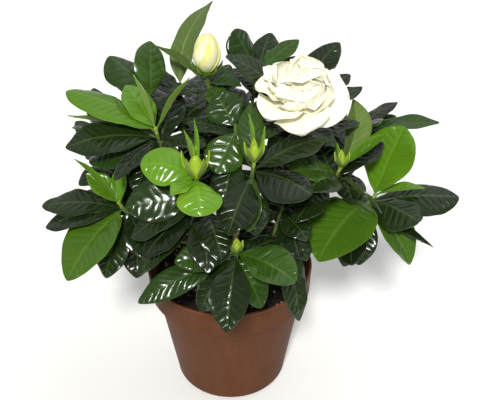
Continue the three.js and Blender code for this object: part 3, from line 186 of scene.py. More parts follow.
# Leafy shoots: the trunk that carries each, its stem's tip (x, y, z), how far down the stem its
# whorls stand, its bud's (width, height) and its leaves.
# Leaf: (distance down from the tip, heading, pitch, length, width, droop, roll, sweep, form, colour),
# where the last four are 0, 0, "plain" and "dark" if they aren't given. Heading 0 points along +X
# and 90 to the back; droop and sweep are the turn from base to tip.
SHOOTS = (
    dict(name="top", trunk="back", tip=(-15, 28, 259.5), whorls=(), leaves=(
        (7, 148, 30, 52, 12, 20, 35, 10, "folded", "green"),
        (10, 58, 14, 30, 18, 30, 0, 0, "plain", "green"),
        (7, -20, 6, 27, 17, 30, 0, 0, "cupped", "green"),
        (10, -63, 7, 26, 17, 30, 20, 0, "cupped", "green"),
        (12, -161, 8, 32, 20, 35),
        (20, -138, -17, 35, 19, 35),
        (24, -52, -19, 35, 19, 35),
        (22, 60, 12, 46, 22, 35),
        (30, -150, 0, 46, 24, 35),
        (34, 170, 5, 48, 24, 35),
        (38, -75, -5, 44, 24, 40),
    )),
    dict(name="inner", trunk="front", tip=(6, -12, 241), whorls=(), leaves=(
        (3, 124, 24, 31, 28, 15, -28, 0, "plain", "green"),
        (5, -121, -39, 34, 28, 14, -22, 0, "plain", "green"),
        (9, 160, 8, 42, 22, 35),
        (12, 100, 10, 44, 22, 35),
        (16, -160, -10, 44, 22, 35),
        (22, -88, -24, 46, 24, 40),
        (26, -20, -4, 40, 24, 40),
        (30, -135, -12, 46, 24, 40),
        (34, -70, -24, 46, 24, 40),
    )),
    dict(name="bloom", trunk="back", tip=(50.8, 1.6, 244.9), whorls=(34,), leaves=(
        (10, 156, 38, 78, 26, 20, -15, -70, "plain", "dull"),
        (11, 33, 10, 64, 20, 25, 0, 0, "plain", "dull"),
        (13, -44, -2, 42, 19, 35, 0, 0, "plain", "dull"),
        (15, -141, 5, 42, 19, 35, 0, 0, "waved", "green"),
        (17, -112, 2, 42, 17, 30),
        (20, -168, 9, 42, 20, 35),
        (22, 75, 14, 50, 22, 35),
    )),
    dict(name="tall", trunk="left", tip=(-37, 52, 239), whorls=(22, 36), leaves=(
        (2, 68, 42, 80, 30, 25, 160, 65, "plain", "green"),
        (6, 151, 26, 36, 19, 30, 0, 0, "plain", "dull"),
    )),
    dict(name="left_back", trunk="left", tip=(-58, 28, 244), whorls=(26, 40), leaves=(
        (2, 147, 32, 46, 35, 35, 0, 0, "domed", "green"),
        (4, 92, 50, 46, 26, 20, 30, 0, "plain", "green"),
        (8, 125, 20, 44, 22, 25),
        (5, -120, 45, 18, 11, 15, 0, 0, "cupped", "green"),
        (12, -164, 8, 40, 21, 35),
        (12, 40, 16, 40, 22, 30),
    )),
    dict(name="left_high", trunk="left", tip=(-51, -8, 236), whorls=(28,), leaves=(
        (4, 167, 21, 75, 30, 40, -5, 0, "domed", "bright"),
        (2, 136, 36, 40, 26, 20, 5, 0, "plain", "bright"),
        (2, 45, 42, 45, 10, 12, -40, 0, "folded", "bright"),
        (3, 134, 58, 43, 9, 8, 60, 0, "folded", "bright"),
        (9, -172, -2, 70, 32, 40, -20, 0, "plain", "dull"),
        (12, -176, -16, 58, 32, 45, -10, 0, "domed", "deep"),
        (10, 130, 27, 60, 19, 12),
        (9, 170, 10, 72, 9, 12, 40, 0, "folded", "fresh"),
        (10, -124, -10, 52, 21, 35, 15),
        (13, -108, -20, 50, 22, 40),
        (10, -29, 5, 42, 22, 35),
        (14, 14, 12, 50, 26, 40),
        (16, 70, 22, 46, 24, 35),
        (22, -60, -14, 50, 26, 40),
    )),
    dict(name="front_low", trunk="front", tip=(7, -80, 181), bud=(7, 8), whorls=(), leaves=(
        (5, -99, -41, 58, 29, 45, 0, 0, "cupped", "dark"),
        (3, -32, -6, 50, 31, 42, 14, 0, "waved", "green"),
        (5, -168, 0, 44, 21, 30, -40, 0, "plain", "green"),
        (3, 160, 9, 34, 14, 20, -40, 0, "waved", "fresh"),
        (12, -166, -20, 76, 21, 28, -38, 0, "plain", "green"),
        (10, -135, -27, 48, 26, 50),
        (10, -58, -34, 42, 22, 45, 0, 0, "waved", "green"),
        (18, 30, 10, 40, 22, 45),
    )),
    dict(name="front_young", trunk="front", tip=(-20, -58, 226), bud=(13, 18), whorls=(), leaves=(
        (3, 172, 14, 46, 29, 62, -36, 0, "round", "young"),
        (2, -82, -14, 37, 31, 58, 0, 0, "round", "young"),
        (1, 113, 52, 34, 7, 10, 50, 0, "folded", "young"),
        (1, 94, 58, 40, 6, 5, 40, 0, "folded", "young"),
        (3, -142, -4, 24, 14, 30, 0, 0, "waved", "young"),
        (20, 172, -14, 54, 30, 30, -45, 0, "plain", "deep"),
        (24, -168, -12, 59, 32, 40),
        (28, -146, -22, 59, 28, 45),
        (34, -148, -31, 68, 24, 45),
        (31, -116, -30, 54, 26, 45),
        (30, -72, -22, 48, 24, 45),
        (26, 140, 6, 44, 24, 40),
    )),
    dict(name="middle", trunk="front", tip=(19, -48, 233), bud=(10, 13), whorls=(30,), leaves=(
        (2, 100, 52, 34, 6, 8, 60, 0, "folded", "young"),
        (3, 76, 48, 28, 6, 8, 60, 0, "folded", "young"),
        (11, 92, 26, 54, 19, 18, 0, 0, "plain", "green"),
        (14, -110, -22, 52, 28, 40),
        (8, 16, 14, 58, 30, 35),
        (9, -33, -3, 50, 40, 45, 0, 0, "domed", "dark"),
        (11, -103, -37, 44, 18, 45, 20, 0, "waved", "green"),
        (13, -84, -43, 44, 20, 40),
    )),
    dict(name="right_high", trunk="right", tip=(81, -22, 213), bud=(6, 10), whorls=(), leaves=(
        (2, 24, 27, 42, 13, 15, 30, 0, "folded", "bright"),
        (10, 70, 36, 74, 24, 25, 150, -60, "cupped", "fresh"),
        (2, 114, 46, 25, 8, 10, 40, 0, "folded", "bright"),
        (9, -128, 8, 40, 33, 45, 0, 0, "plain", "deep"),
        (8, -156, 17, 42, 26, 35, -20, 0, "waved", "green"),
        (9, -42, -18, 47, 24, 45, -50, 0, "plain", "dull"),
        (20, -124, -6, 50, 24, 40),
        (22, 62, 4, 50, 22, 40),
        (24, 160, 2, 44, 22, 40),
        (13, 112, 20, 46, 26, 35),
        (12, 50, 26, 50, 23, 30),
    )),
    dict(name="right_low", trunk="right", tip=(111, -2, 176), whorls=(32,), leaves=(
        (3, 48, 55, 58, 44, 22, 0, 0, "waved", "bright"),
        (9, -130, -17, 77, 54, 62, 0, 0, "oval", "fresh"),
        (2, 0, 10, 40, 12, 40, 0, 0, "cupped", "bright"),
        (9, 2, 2, 70, 34, 25, 15, 0, "domed", "dark"),
        (8, -34, 5, 48, 36, 32, 12, 0, "domed", "dark"),
        (11, -47, -32, 62, 32, 52, 0, 0, "cupped", "fresh"),
        (12, -24, -22, 62, 12, 30, 80, 0, "folded", "dark"),
        (14, -100, -44, 51, 25, 55),
        (18, -117, -37, 50, 23, 50),
        (20, -156, -26, 64, 24, 30, -45, 0, "plain", "green"),
        (20, 100, 5, 50, 24, 40),
        (24, 132, 2, 52, 26, 35),
    )),
    dict(name="left_low", trunk="left", tip=(-79, -28, 186), whorls=(), leaves=(
        (8, -132, -30, 71, 42, 45, 0, 0, "oval", "mid"),
        (2, 150, 55, 46, 9, 10, -15, 0, "folded", "bright"),
        (2, 157, 41, 33, 17, 20, -25, 0, "cupped", "bright"),
        (3, 97, 52, 28, 12, 10, 0, 0, "cupped", "bright"),
        (2, 70, 66, 28, 9, 8, 0, 0, "cupped", "bright"),
        (8, 175, -1, 64, 28, 35, -8),
        (9, -170, -5, 62, 29, 40),
        (12, -110, -40, 56, 26, 50),
        (14, -64, -21, 48, 24, 50),
        (18, 96, 12, 52, 24, 35),
        (22, 140, 4, 54, 24, 35),
        (24, -30, -4, 46, 22, 40),
        (28, -88, -24, 50, 24, 45),
    )),
    dict(name="right_inner", trunk="right", tip=(39, -40, 191), whorls=(), leaves=(
        (14, -73, -46, 80, 23, 40, -20, 0, "plain", "dull"),
        (7, -60, -6, 36, 22, 40),
        (6, -96, -40, 38, 23, 40),
        (4, -19, 14, 27, 20, 35),
        (8, -164, 9, 30, 20, 35),
        (10, 60, 20, 46, 24, 40),
        (14, 130, 8, 44, 22, 40),
        (16, 34, 8, 44, 24, 40),
        (24, -62, -20, 40, 22, 40),
        (26, 84, 4, 54, 24, 40),
        (26, -150, 0, 46, 22, 40),
    )),
    dict(name="back_top", trunk="back", tip=(21, 62, 247), whorls=(14, 28), leaves=(
        (3, 34, 25, 45, 18, 20, 10, 0, "plain", "green"),
        (2, 164, 44, 38, 30, 15, -22, 0, "domed", "green"),
        (4, 10, 14, 41, 20, 25, 0, 0, "waved", "green"),
    )),
    dict(name="back_left", trunk="left", tip=(-95, 45, 192), whorls=(4, 16, 30), leaves=()),
    dict(name="back_left_high", trunk="left", tip=(-55, 82, 208), whorls=(4, 16, 30), leaves=()),
    dict(name="back_middle", trunk="back", tip=(-5, 100, 184), whorls=(4, 16, 30), leaves=()),
    dict(name="back_right_high", trunk="back", tip=(58, 82, 216), whorls=(4, 16, 30), leaves=()),
    dict(name="back_right", trunk="right", tip=(98, 48, 202), whorls=(6, 16, 30), leaves=(
        (3, -4, 11, 68, 22, 25, 0, 0, "waved", "green"),
    )),
    dict(name="back_low_left", trunk="back", tip=(-56, 66, 150), whorls=(10, 22), leaves=()),
    dict(name="back_low_right", trunk="right", tip=(60, 66, 150), whorls=(10, 22), leaves=()),
)

# Whorls of three leaves: upright near the shoot's tip, level further down, and turned by a sixth
# from one whorl to the next, each with a little of its own from the draw
WHORL_LEAVES = 3
WHORL_TOP_PITCH = 45
WHORL_PITCH_LOSS = 1.3
WHORL_LENGTH = 56
WHORL_WIDTH = 24
WHORL_DROOP = 40
WHORL_SEED = 7
WHORL_SIZE_SPREAD = 0.3
WHORL_TURN_SPREAD = 20
WHORL_PITCH_SPREAD = 14
WHORL_DROOP_SPREAD = 20
WHORL_ROLL_SPREAD = 30
WHORL_DOWN_SPREAD = 2
WHORL_WOOD_CLEARANCE = 0.04

# What a leaf's row holds, and its usual end
LEAF_NAMES = ("down", "heading", "pitch", "length", "width", "droop", "roll", "sweep", "form", "colour")
LEAF_ENDS = (0, 0, "plain", "dark")
LEAF_LEAST = len(LEAF_NAMES) - len(LEAF_ENDS)
# From each leaf to the next, the waves of its edge start this share of a wave later
PHASE_STEP = 0.37

# A leaf that would touch another shoot, the flower, the pot or the soil takes the first of these
# bends that is clear: (turn of heading, turn of pitch) in degrees
BENDS = (
    (0, 0), (0, 4), (0, -4), (5, 0), (-5, 0), (0, 8), (0, -8), (8, 5), (-8, 5), (8, -5), (-8, -5),
    (0, 12), (0, -12), (12, 0), (-12, 0), (14, 9), (-14, 9), (14, -9), (-14, -9), (0, 18), (0, -18),
    (22, 0), (-22, 0), (20, 14), (-20, 14), (20, -14), (-20, -14), (30, 6), (-30, 6), (0, 26), (0, -26),
)

# Grid of cells that says where solids already are, and how densely they are sampled
CELL = 1.57
SAMPLE_SPACING = 1.2
STEM_SAMPLES = 60
GRID_REACH = 200
GRID_HEIGHT = 360
FIXED_BIT = 1 << 30

# A blade may touch its own node up to its outer share, and its shoot's other node up to its near
# share
OUTER_SHARE = 0.3
NEAR_SHARE = 0.12

# How grown each leaf colour is: 0 is the oldest, darkest leaf and 1 the youngest
AGES = dict(dark=0.08, dull=0.1, deep=0.2, green=0.32, mid=0.42, fresh=0.5, bright=0.66, young=0.8)

# The draw: each state is the last one times the factor, less the range as often as it goes
DRAW_FACTOR = 16807
DRAW_RANGE = 2147483647


def drawer(seed):
    """Draws that are the same in every run: a function for numbers from 0 to 1, the state's share
    of the range, and one for numbers up to half a spread above or below zero."""
    state = [seed]

    def draw():
        """The next number from 0 to 1."""
        state[0] = state[0] * DRAW_FACTOR % DRAW_RANGE
        return state[0] / DRAW_RANGE

    return draw, lambda spread: spread * (draw() - 0.5)


def direction(heading, pitch):
    """Unit vector at a heading round +Z from +X and a pitch above the level, in degrees."""
    heading, pitch = np.radians(heading), np.radians(pitch)
    return np.array([np.cos(pitch) * np.cos(heading), np.cos(pitch) * np.sin(heading), np.sin(pitch)])


def unit(vectors):
    """The vectors at length 1."""
    return vectors / np.linalg.norm(vectors, axis=-1, keepdims=True)


def turns(sides):
    """Even turns round an axis, as one row."""
    return (TURN * np.arange(sides) / sides)[None]


def round_rings(radius, level, sides):
    """Points on level rings about +Z, by the radius and the level of each ring or point."""
    turn = turns(sides)
    return np.stack([radius * np.cos(turn), radius * np.sin(turn), level + 0 * turn], -1)


def smooth(value, low, high):
    """0 below low, 1 above high, and 3t^2 - 2t^3 between them."""
    t = np.clip((value - low) / (high - low), 0, 1)
    return t * t * (3 - 2 * t)


def ripple(points, size, seed, waves=20):
    """Uneven waves about `size` long: a sum of sines in drawn directions, mostly within -1 to 1."""
    draws = np.random.default_rng(seed)
    ways = unit(draws.normal(size=(waves, 3)))
    ways = ways * (TURN / size * draws.uniform(*RIPPLE_STRETCH, (waves, 1)))
    return np.sin(points @ ways.T + draws.uniform(0, TURN, waves)).sum(-1) / math.sqrt(waves)


def blade_frame(blade, s):
    """Middle line at share s: a parabola whose direction goes from the base's to the tip's, with
    its side and up directions turned by the roll."""
    s = np.asarray(s, float)[..., None]
    start = direction(blade["heading"] + blade["sweep"] / 2, blade["pitch"] + blade["droop"] / 2)
    end = direction(blade["heading"] - blade["sweep"] / 2, blade["pitch"] - blade["droop"] / 2)
    point = blade["base"] + blade["length"] * (start * (s - s * s / 2) + end * (s * s / 2))
    along = unit(start * (1 - s) + end * s)
    level = unit(np.stack([-along[..., 1], along[..., 0], 0 * along[..., 0]], -1))
    upright = np.cross(along, level)
    cos, sin = math.cos(math.radians(blade["roll"])), math.sin(math.radians(blade["roll"]))
    return point, level * cos + upright * sin, upright * cos - level * sin


def half_width(blade, s):
    """A sine bump pushed outward by belly, sharpened by taper and drawn in at the point."""
    form = FORMS[blade["form"]]
    x = np.maximum(0, (s - PETIOLE) / (1 - PETIOLE))
    bump = np.clip(np.sin(np.pi * np.minimum(1, x) ** form["belly"]), 0, 1) ** form["taper"]
    drawn = 1 - form["point"] * x ** POINT_POWER
    return np.maximum(blade["width"] / 2 * bump * drawn, np.where(s < 0.5, PETIOLE_HALF_WIDTH, 0))


def blade_surface(blade, s, u, relief=0.0):
    """Point at s along and u across, from -1 to 1: folded or domed, with a waved edge, and raised
    by the relief."""
    form = FORMS[blade["form"]]
    point, side, up = blade_frame(blade, s)
    half = half_width(blade, s)
    fold = math.radians(form["fold"])
    wave = np.sin(TURN * (WAVES_PER_BLADE * s + blade["phase"]) + WAVE_SHIFT * np.sign(u))
    lift = half * np.abs(u) ** form.get("power", FOLD_POWER) * math.sin(fold) + relief
    lift = lift + form["wave"] * np.minimum(1, half / FULL_WAVE_HALF_WIDTH) * u * u * wave
    return point + side * (half * u * math.cos(fold))[..., None] + up * lift[..., None]


grid_cells = math.ceil(2 * GRID_REACH / CELL)
grid_levels = math.ceil(GRID_HEIGHT / CELL)
everything = np.zeros((grid_cells, grid_cells, grid_levels), np.int32)
outer_parts = np.zeros((grid_cells, grid_cells, grid_levels), np.int32)


def cells_of(points):
    """The grid cell of each point."""
    return np.floor((points.reshape(-1, 3) + (GRID_REACH, GRID_REACH, 0)) / CELL).astype(int)


def mark(points, bit, grid=everything, reach=1):
    """Sets the bit in the cells of the points, and in those up to reach cells away."""
    cells = np.unique(cells_of(points), axis=0)
    steps = np.arange(-reach, reach + 1)
    for step in np.stack(np.meshgrid(steps, steps, steps), -1).reshape(-1, 3):
        near = cells + step
        near = near[near[:, 2] >= 0]
        grid[near[:, 0], near[:, 1], near[:, 2]] |= bit


def blade_samples(blade, from_share=0.0, stations=STATIONS):
    """Points on the solid blade's facets, no further apart than the sample spacing."""
    columns = math.ceil(blade["width"] / 2 / SAMPLE_SPACING)
    ends = np.array([*stations, 1.0])
    corners = blade_surface(blade, *np.meshgrid(ends, np.array([-1.0, 0, 1]), indexing="ij"))
    across = (np.arange(columns + 1) / columns)[None, :, None]
    points = []
    for low, high, first, last in zip(corners, corners[1:], ends, ends[1:]):
        rows = math.ceil(blade["length"] * (last - first) / SAMPLE_SPACING)
        share = np.arange(rows + 1) / rows
        share = share[first + (last - first) * share >= from_share][:, None, None]
        line = low * (1 - share) + high * share
        for edge in (line[:, 2:], line[:, :1]):
            points.append(line[:, 1:2] * (1 - across) + edge * across)
    return np.concatenate([some.reshape(-1, 3) for some in points])


def is_clear(blade, bit, other_bit):
    """True where no sample of the blade lies in a cell that another piece has taken."""
    def blocked(grid, mask, from_share):
        """True where a sample past the share is below the floor, or in a cell with a masked bit."""
        cells = cells_of(blade_samples(blade, from_share))
        return cells[:, 2].min() < 0 or bool((grid[cells[:, 0], cells[:, 1], cells[:, 2]] & mask).any())

    return not (blocked(everything, ~(bit | other_bit), 0) or blocked(everything, other_bit, NEAR_SHARE)
                or blocked(outer_parts, bit, OUTER_SHARE))


def is_young(blade):
    """True for the light green growth at a shoot's tip."""
    return blade["colour"] in ("young", "bright")


def placed(blade, shoot):
    """The blade at the first bend that is clear, or None where there is no room for it."""
    bits = (shoot["bit"], shoot["young_bit"])
    bit, other_bit = bits[::-1] if is_young(blade) else bits
    for turn, tilt in BENDS:
        bent = dict(blade, heading=blade["heading"] + turn, pitch=blade["pitch"] + tilt)
        if is_clear(bent, bit, other_bit):
            mark(blade_samples(bent), bit)
            mark(blade_samples(bent, OUTER_SHARE), bit, outer_parts, 0)
            return bent
    return None


def trunk_point(trunk, t):
    """Point at share t on the straight line from the trunk's foot to its top."""
    foot = np.array([*trunk["foot"], TRUNK_FOOT_LEVEL], float)
    return foot + (np.array(trunk["top"]) - foot) * np.asarray(t, float)[..., None]


def shoot_path(shoot):
    """Ends, control point and reach of a shoot's stem: out of its trunk, lower for a lower tip,
    and bending up to its tip along one quadratic curve."""
    trunk = TRUNKS[shoot["trunk"]]
    tip = np.array(shoot["tip"], float)
    level = FORK_LEVEL + FORK_RISE * (tip[2] - LOW_TIP_LEVEL)
    start = trunk_point(trunk, (level - TRUNK_FOOT_LEVEL) / (trunk["top"][2] - TRUNK_FOOT_LEVEL))
    reach = np.linalg.norm(tip - start)
    aim = unit((tip - start) * STEM_LEAN / reach + (0, 0, STEM_UPTURN))
    return start, tip - aim * reach / 2, tip, reach


def path_point(path, t):
    """Point of the quadratic curve at share t."""
    start, control, tip, _ = path
    t = np.asarray(t, float)[..., None]
    return start * (1 - t) ** 2 + control * 2 * t * (1 - t) + tip * t * t


def circle_points(radius, level):
    """Sample points on a level circle round the Z axis."""
    return round_rings(radius, level, math.ceil(TURN * radius / SAMPLE_SPACING))[0]


def steps_to(end, first):
    """Levels from first up to end, one sample spacing apart, added one by one."""
    values = []
    while first <= end:
        values.append(first)
        first += SAMPLE_SPACING
    return values


def bud_radius(share, radius, neck):
    """A bud's radius at a share of its height: its neck and a sine bump, full below the middle."""
    bump = np.clip(np.sin(np.pi * share ** BUD_BELLY), 0, 1)
    return neck + (radius - neck) * bump ** BUD_FULLNESS


def bloom_petals():
    """Petals of the flower in its own frame, its axis along +Z, each a little off its ring's rule."""
    draw, swing = drawer(BLOOM_SEED)
    petals = []
    for count, first, pitch, length, width, droop, level, form in PETAL_ROWS:
        for spoke in first + 360 * np.arange(count) / count:
            petals.append(dict(
                base=PETAL_START * direction(spoke, 0) + (0, 0, level),
                heading=spoke + swing(PETAL_DIRECTION_SPREAD),
                pitch=pitch + swing(PETAL_DIRECTION_SPREAD),
                length=length * (1 + swing(PETAL_SIZE_SPREAD)),
                width=width * (1 + swing(PETAL_SIZE_SPREAD)),
                droop=droop + swing(PETAL_DROOP_SPREAD),
                roll=PETAL_ROLL + swing(PETAL_ROLL_SPREAD),
                sweep=swing(PETAL_SWEEP_SPREAD),
                form=form,
                phase=draw(),
                index=len(petals),
            ))
    return petals


def mark_fixed_parts(shoots):
    """Marks the pot's wall and the soil, every stem, the flower and the large bud."""
    band_foot = POT_HEIGHT - BAND_HEIGHT
    for level in steps_to(POT_HEIGHT, 0):
        slope = BASE_RADIUS + (BODY_TOP_RADIUS - BASE_RADIUS) * level / band_foot
        mark(circle_points(RIM_RADIUS - LIP if level > band_foot - WALL else slope, level), FIXED_BIT)
    for radius in steps_to(RIM_RADIUS, SAMPLE_SPACING):
        mark(circle_points(radius, SOIL_LEVEL + LIP), FIXED_BIT)
    share = np.arange(STEM_SAMPLES + 1) / STEM_SAMPLES
    for trunk in TRUNKS.values():
        mark(trunk_point(trunk, share), FIXED_BIT)
    for shoot in shoots:
        path, split = shoot["path"], shoot["split"]
        mark(path_point(path, WOOD_SHARE * share), FIXED_BIT)
        mark(path_point(path, WOOD_SHARE + (split - WOOD_SHARE) * share), shoot["bit"])
        if split < 1:
            mark(path_point(path, split + (1 - split) * share), shoot["young_bit"])
    for level in steps_to(CREAM_BUD_HEIGHT, 0):
        radius = bud_radius(level / CREAM_BUD_HEIGHT, CREAM_BUD_RADIUS, CREAM_BUD_NECK)
        mark(circle_points(radius, level) + BUD_FOOT, FIXED_BIT)
    for petal in bloom_petals():
        mark(blade_samples(petal, 0, PETAL_STATIONS) @ BLOOM_TURN.T + BLOOM_FOOT, FIXED_BIT)


def leaf(row):
    """The leaf of a row, with the usual end where the row is short."""
    return dict(zip(LEAF_NAMES, (*row, *LEAF_ENDS[len(row) - LEAF_LEAST:])))


def whorl_rows(shoot, draw, swing):
    """Rows for the leaves of a shoot's whorls, with a little of their own from the draw."""
    rows = []
    for tier, down in enumerate(shoot["whorls"]):
        first = 360 * draw()
        for k in range(WHORL_LEAVES):
            size = 1 + swing(WHORL_SIZE_SPREAD)
            rows.append((
                down + WHORL_DOWN_SPREAD * draw(),
                first + 180 * (2 * k + tier) / WHORL_LEAVES + swing(WHORL_TURN_SPREAD),
                WHORL_TOP_PITCH - WHORL_PITCH_LOSS * down + swing(WHORL_PITCH_SPREAD),
                WHORL_LENGTH * size,
                WHORL_WIDTH * size,
                WHORL_DROOP + swing(WHORL_DROOP_SPREAD),
                swing(WHORL_ROLL_SPREAD),
            ))
    return rows


def grow():
    """Every shoot with its path and its placed blades: first the listed leaves, then the whorls,
    which stand on the green part of the stem alone."""
    shoots = []
    for index, listed in enumerate(SHOOTS):
        shoot = dict(listed, path=shoot_path(listed), bit=1 << index, young_bit=0, split=1, blades=[])
        if any(is_young(leaf(row)) for row in shoot["leaves"]):
            shoot["split"] = 1 - YOUNG_REACH / shoot["path"][3]
        shoots.append(shoot)
    for index, shoot in enumerate(shoot for shoot in shoots if shoot["split"] < 1):
        shoot["young_bit"] = 1 << (len(shoots) + index)
    mark_fixed_parts(shoots)
    chance = drawer(WHORL_SEED)
    lowest = WOOD_SHARE + WHORL_WOOD_CLEARANCE
    rows = [(shoot, row, 0) for shoot in shoots for row in shoot["leaves"]]
    rows += [(shoot, row, lowest) for shoot in shoots for row in whorl_rows(shoot, *chance)]
    count = 0
    for shoot, row, least_share in rows:
        share = 1 - row[0] / shoot["path"][3]
        if share < least_share:
            continue
        count += 1
        base = path_point(shoot["path"], share)
        wanted = dict(leaf(row), base=base, share=share, phase=count * PHASE_STEP % 1, index=count)
        blade = placed(wanted, shoot)
        if blade:
            shoot["blades"].append(blade)
    return shoots


def part(rings, tip=None, slot=0, **attributes):
    """A closed lofted shell through rings of equal length, anticlockwise as seen from the end.
    It is closed by a fan at its start, and by its tip point or another fan at its end. Each
    attribute holds three numbers for every ring point; the tip takes the mean of the last ring."""
    rows, count = rings.shape[:2]
    points = rings.reshape(-1, 3)
    row, column = np.meshgrid(np.arange(rows - 1) * count, np.arange(count), indexing="ij")
    beside = row + (column + 1) % count
    quads = np.stack([row + column, beside, beside + count, row + column + count], -1).reshape(-1, 4)
    fan = np.arange(1, count - 1)
    start = np.stack([0 * fan, fan + 1, fan], -1)
    last = (rows - 1) * count
    attributes = {name: np.broadcast_to(v, rings.shape).reshape(-1, 3) for name, v in attributes.items()}
    if tip is None:
        end = np.stack([0 * fan, fan, fan + 1], -1) + last
    else:
        edge = np.arange(count)
        end = np.stack([last + edge, last + (edge + 1) % count, 0 * edge + rows * count], -1)
        points = np.concatenate([points, [tip]])
        attributes = {n: np.concatenate([v, [v[last:].mean(0)]]) for n, v in attributes.items()}
    return dict(points=points, quads=quads, triangles=np.concatenate([start, end]), slot=slot, **attributes)


def piece(name, parts, materials, sharp_angle=50, body="root", replaces=()):
    """One mesh object from closed parts, with each part's material and attributes, smooth but for
    edges sharper than the angle."""
    counts = np.array([len(one["points"]) for one in parts])
    first = np.concatenate([[0], np.cumsum(counts)[:-1]])
    quads = np.concatenate([one["quads"] + at for one, at in zip(parts, first)])
    triangles = np.concatenate([one["triangles"] + at for one, at in zip(parts, first)])
    slots = np.concatenate([np.full(len(one[kind]), one["slot"]) for kind in ("quads", "triangles")
                            for one in parts])
    sides = np.concatenate([np.full(len(quads), 4), np.full(len(triangles), 3)])
    mesh = bpy.data.meshes.new(name)
    mesh.vertices.add(int(counts.sum()))
    mesh.vertices.foreach_set("co", (np.concatenate([one["points"] for one in parts]) * MM).ravel())
    mesh.loops.add(int(sides.sum()))
    mesh.polygons.add(len(sides))
    mesh.polygons.foreach_set("loop_start", np.concatenate([[0], np.cumsum(sides)[:-1]]))
    mesh.polygons.foreach_set("vertices", np.concatenate([quads.ravel(), triangles.ravel()]))
    mesh.polygons.foreach_set("material_index", slots)
    mesh.polygons.foreach_set("use_smooth", np.ones(len(sides), bool))
    mesh.update(calc_edges=True)
    mesh.set_sharp_from_angle(angle=math.radians(sharp_angle))
    for key in ("vein", "kind"):
        values = [one[key] if key in one else np.zeros_like(one["points"]) for one in parts]
        layer = mesh.attributes.new(key, "FLOAT_VECTOR", "POINT")
        layer.data.foreach_set("vector", np.concatenate(values).astype(np.float32).ravel())
    for material in materials:
        mesh.materials.append(material)
    made = add_object(name, mesh)
    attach(made, body)
    if replaces:
        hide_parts(*replaces)
    return made


# Fine blades: a row at each side vein's own line and five between it and the next one, then rows
# near the tip, and how far slow warps and the scallops of a petal's edge go
VEIN_ROWS = np.array([0, 0.1, 0.28, 0.5, 0.72, 0.9])
VEIN_ROWS_END = 0.97
VEIN_SPACING = 6.4
VEIN_COUNTS = (6, 12)
VEIN_SLANT = 0.17
WARP_DEPTH = 0.3
WARP_SIZE = 15
WARP_WAVES = 9
SCALLOPS = 19
SCALLOP_SHIFT = 3
SCALLOP_DEPTH = 0.045


def blade_shell(blade, age, veins, columns, tip_rows, half_thickness, top_relief, back_relief,
                slant=0.0, warp_depth=0.0, scallop_depth=0.0):
    """A closed blade: its face and its back follow the blade's surface, raised by their reliefs,
    which take the share along, the place across, the vein count and the half width. Rows lean
    towards the tip at the edges, as side veins do, by the slant times 4t(1 - t) times |u|."""
    t = (np.arange(veins)[:, None] + VEIN_ROWS).ravel() / veins
    t = np.unique(np.concatenate([t[t < VEIN_ROWS_END], tip_rows]))
    rows, across = np.meshgrid(t, np.linspace(1, -1, columns + 1), indexing="ij")
    s = rows + slant * np.abs(across) * 4 * rows * (1 - rows)
    phase = rows * veins
    half = half_width(blade, s)
    thick = half_thickness(s, across)
    flat = np.stack([blade["length"] * s, half * across, 0 * s], -1)
    warp = warp_depth * smooth(s, *WARP_START) * ripple(flat, WARP_SIZE, blade["index"], WARP_WAVES)
    scallop = np.sin(SCALLOPS * s + SCALLOP_SHIFT * np.sign(across) + TURN * blade["phase"])
    across = across * (1 + scallop_depth * scallop)
    face = blade_surface(blade, s, across, warp + thick + top_relief(s, across, phase, half))
    back = blade_surface(blade, s, across, warp - thick - back_relief(s, across, phase, half))
    grown = np.stack([across, phase, s], -1)
    under = np.concatenate([np.zeros_like(across), np.ones_like(across)], axis=1)
    chance = np.random.default_rng(blade["index"]).uniform()
    return part(
        np.concatenate([face, back[:, ::-1]], axis=1),
        blade_surface(blade, np.array(1.0), np.array(0.0)),
        vein=np.concatenate([grown, grown[:, ::-1]], axis=1),
        kind=np.stack([under, under * 0 + age, under * 0 + chance], -1))


# Relief of a leaf: depths and heights in millimetres, and stretches along its length (from, to) or
# out from its midrib towards its edge
LEAF_COLUMNS = 14
LEAF_TIP_ROWS = (0.975, 0.985, 0.994)
LEAF_HALF_THICKNESS = 0.24
LEAF_THINNING = 0.4
STALK_HALF_THICKNESS = 0.45
STALK_ROUNDNESS = 0.9
STALK_END = (0.02, 0.1)
BLADE_START = (0.1, 0.2)
BLADE_END = (0.9, 0.99)
WARP_START = (0.1, 0.25)
VEIN_DEPTH = 0.3
VEIN_SHARPNESS = 7
FULL_VEIN_WIDTH = 22
FOLDED_VEIN_SHARE = 0.25
VEIN_START = (0.04, 0.2)
VEIN_END = (0.6, 0.92)
QUILT_SHARE = 0.35
MIDRIB_DEPTH = 0.4
MIDRIB_WIDTH = 0.75
RIB_HEIGHT = 0.6
RIB_LOSS = 0.7
SIDE_RIB_HEIGHT = 0.2
SIDE_RIB_END = (0.6, 0.95)
MARGIN_DEPTH = 0.7
MARGIN_START = (0.82, 1)
FULL_MARGIN_WIDTH = 20

# Relief of a calyx lobe and of a petal
LOBE_VEINS = 3
LOBE_COLUMNS = 6
LOBE_TIP_ROWS = (0.98,)
LOBE_EDGE = 0.25
LOBE_FULLNESS = 0.2
LOBE_ROUNDNESS = 0.95
LOBE_BACK = 0.3
PETAL_VEINS = 5
PETAL_COLUMNS = 22
PETAL_TIP_ROWS = (0.975, 0.987, 0.995, 0.999)
PETAL_HALF_THICKNESS = 0.3
PETAL_THINNING = 0.6
RIM_START = (0.45, 1)
RUFFLED_PETALS = 12
RUFFLE_HEIGHT = 1.1
INNER_RUFFLE_HEIGHT = 0.5
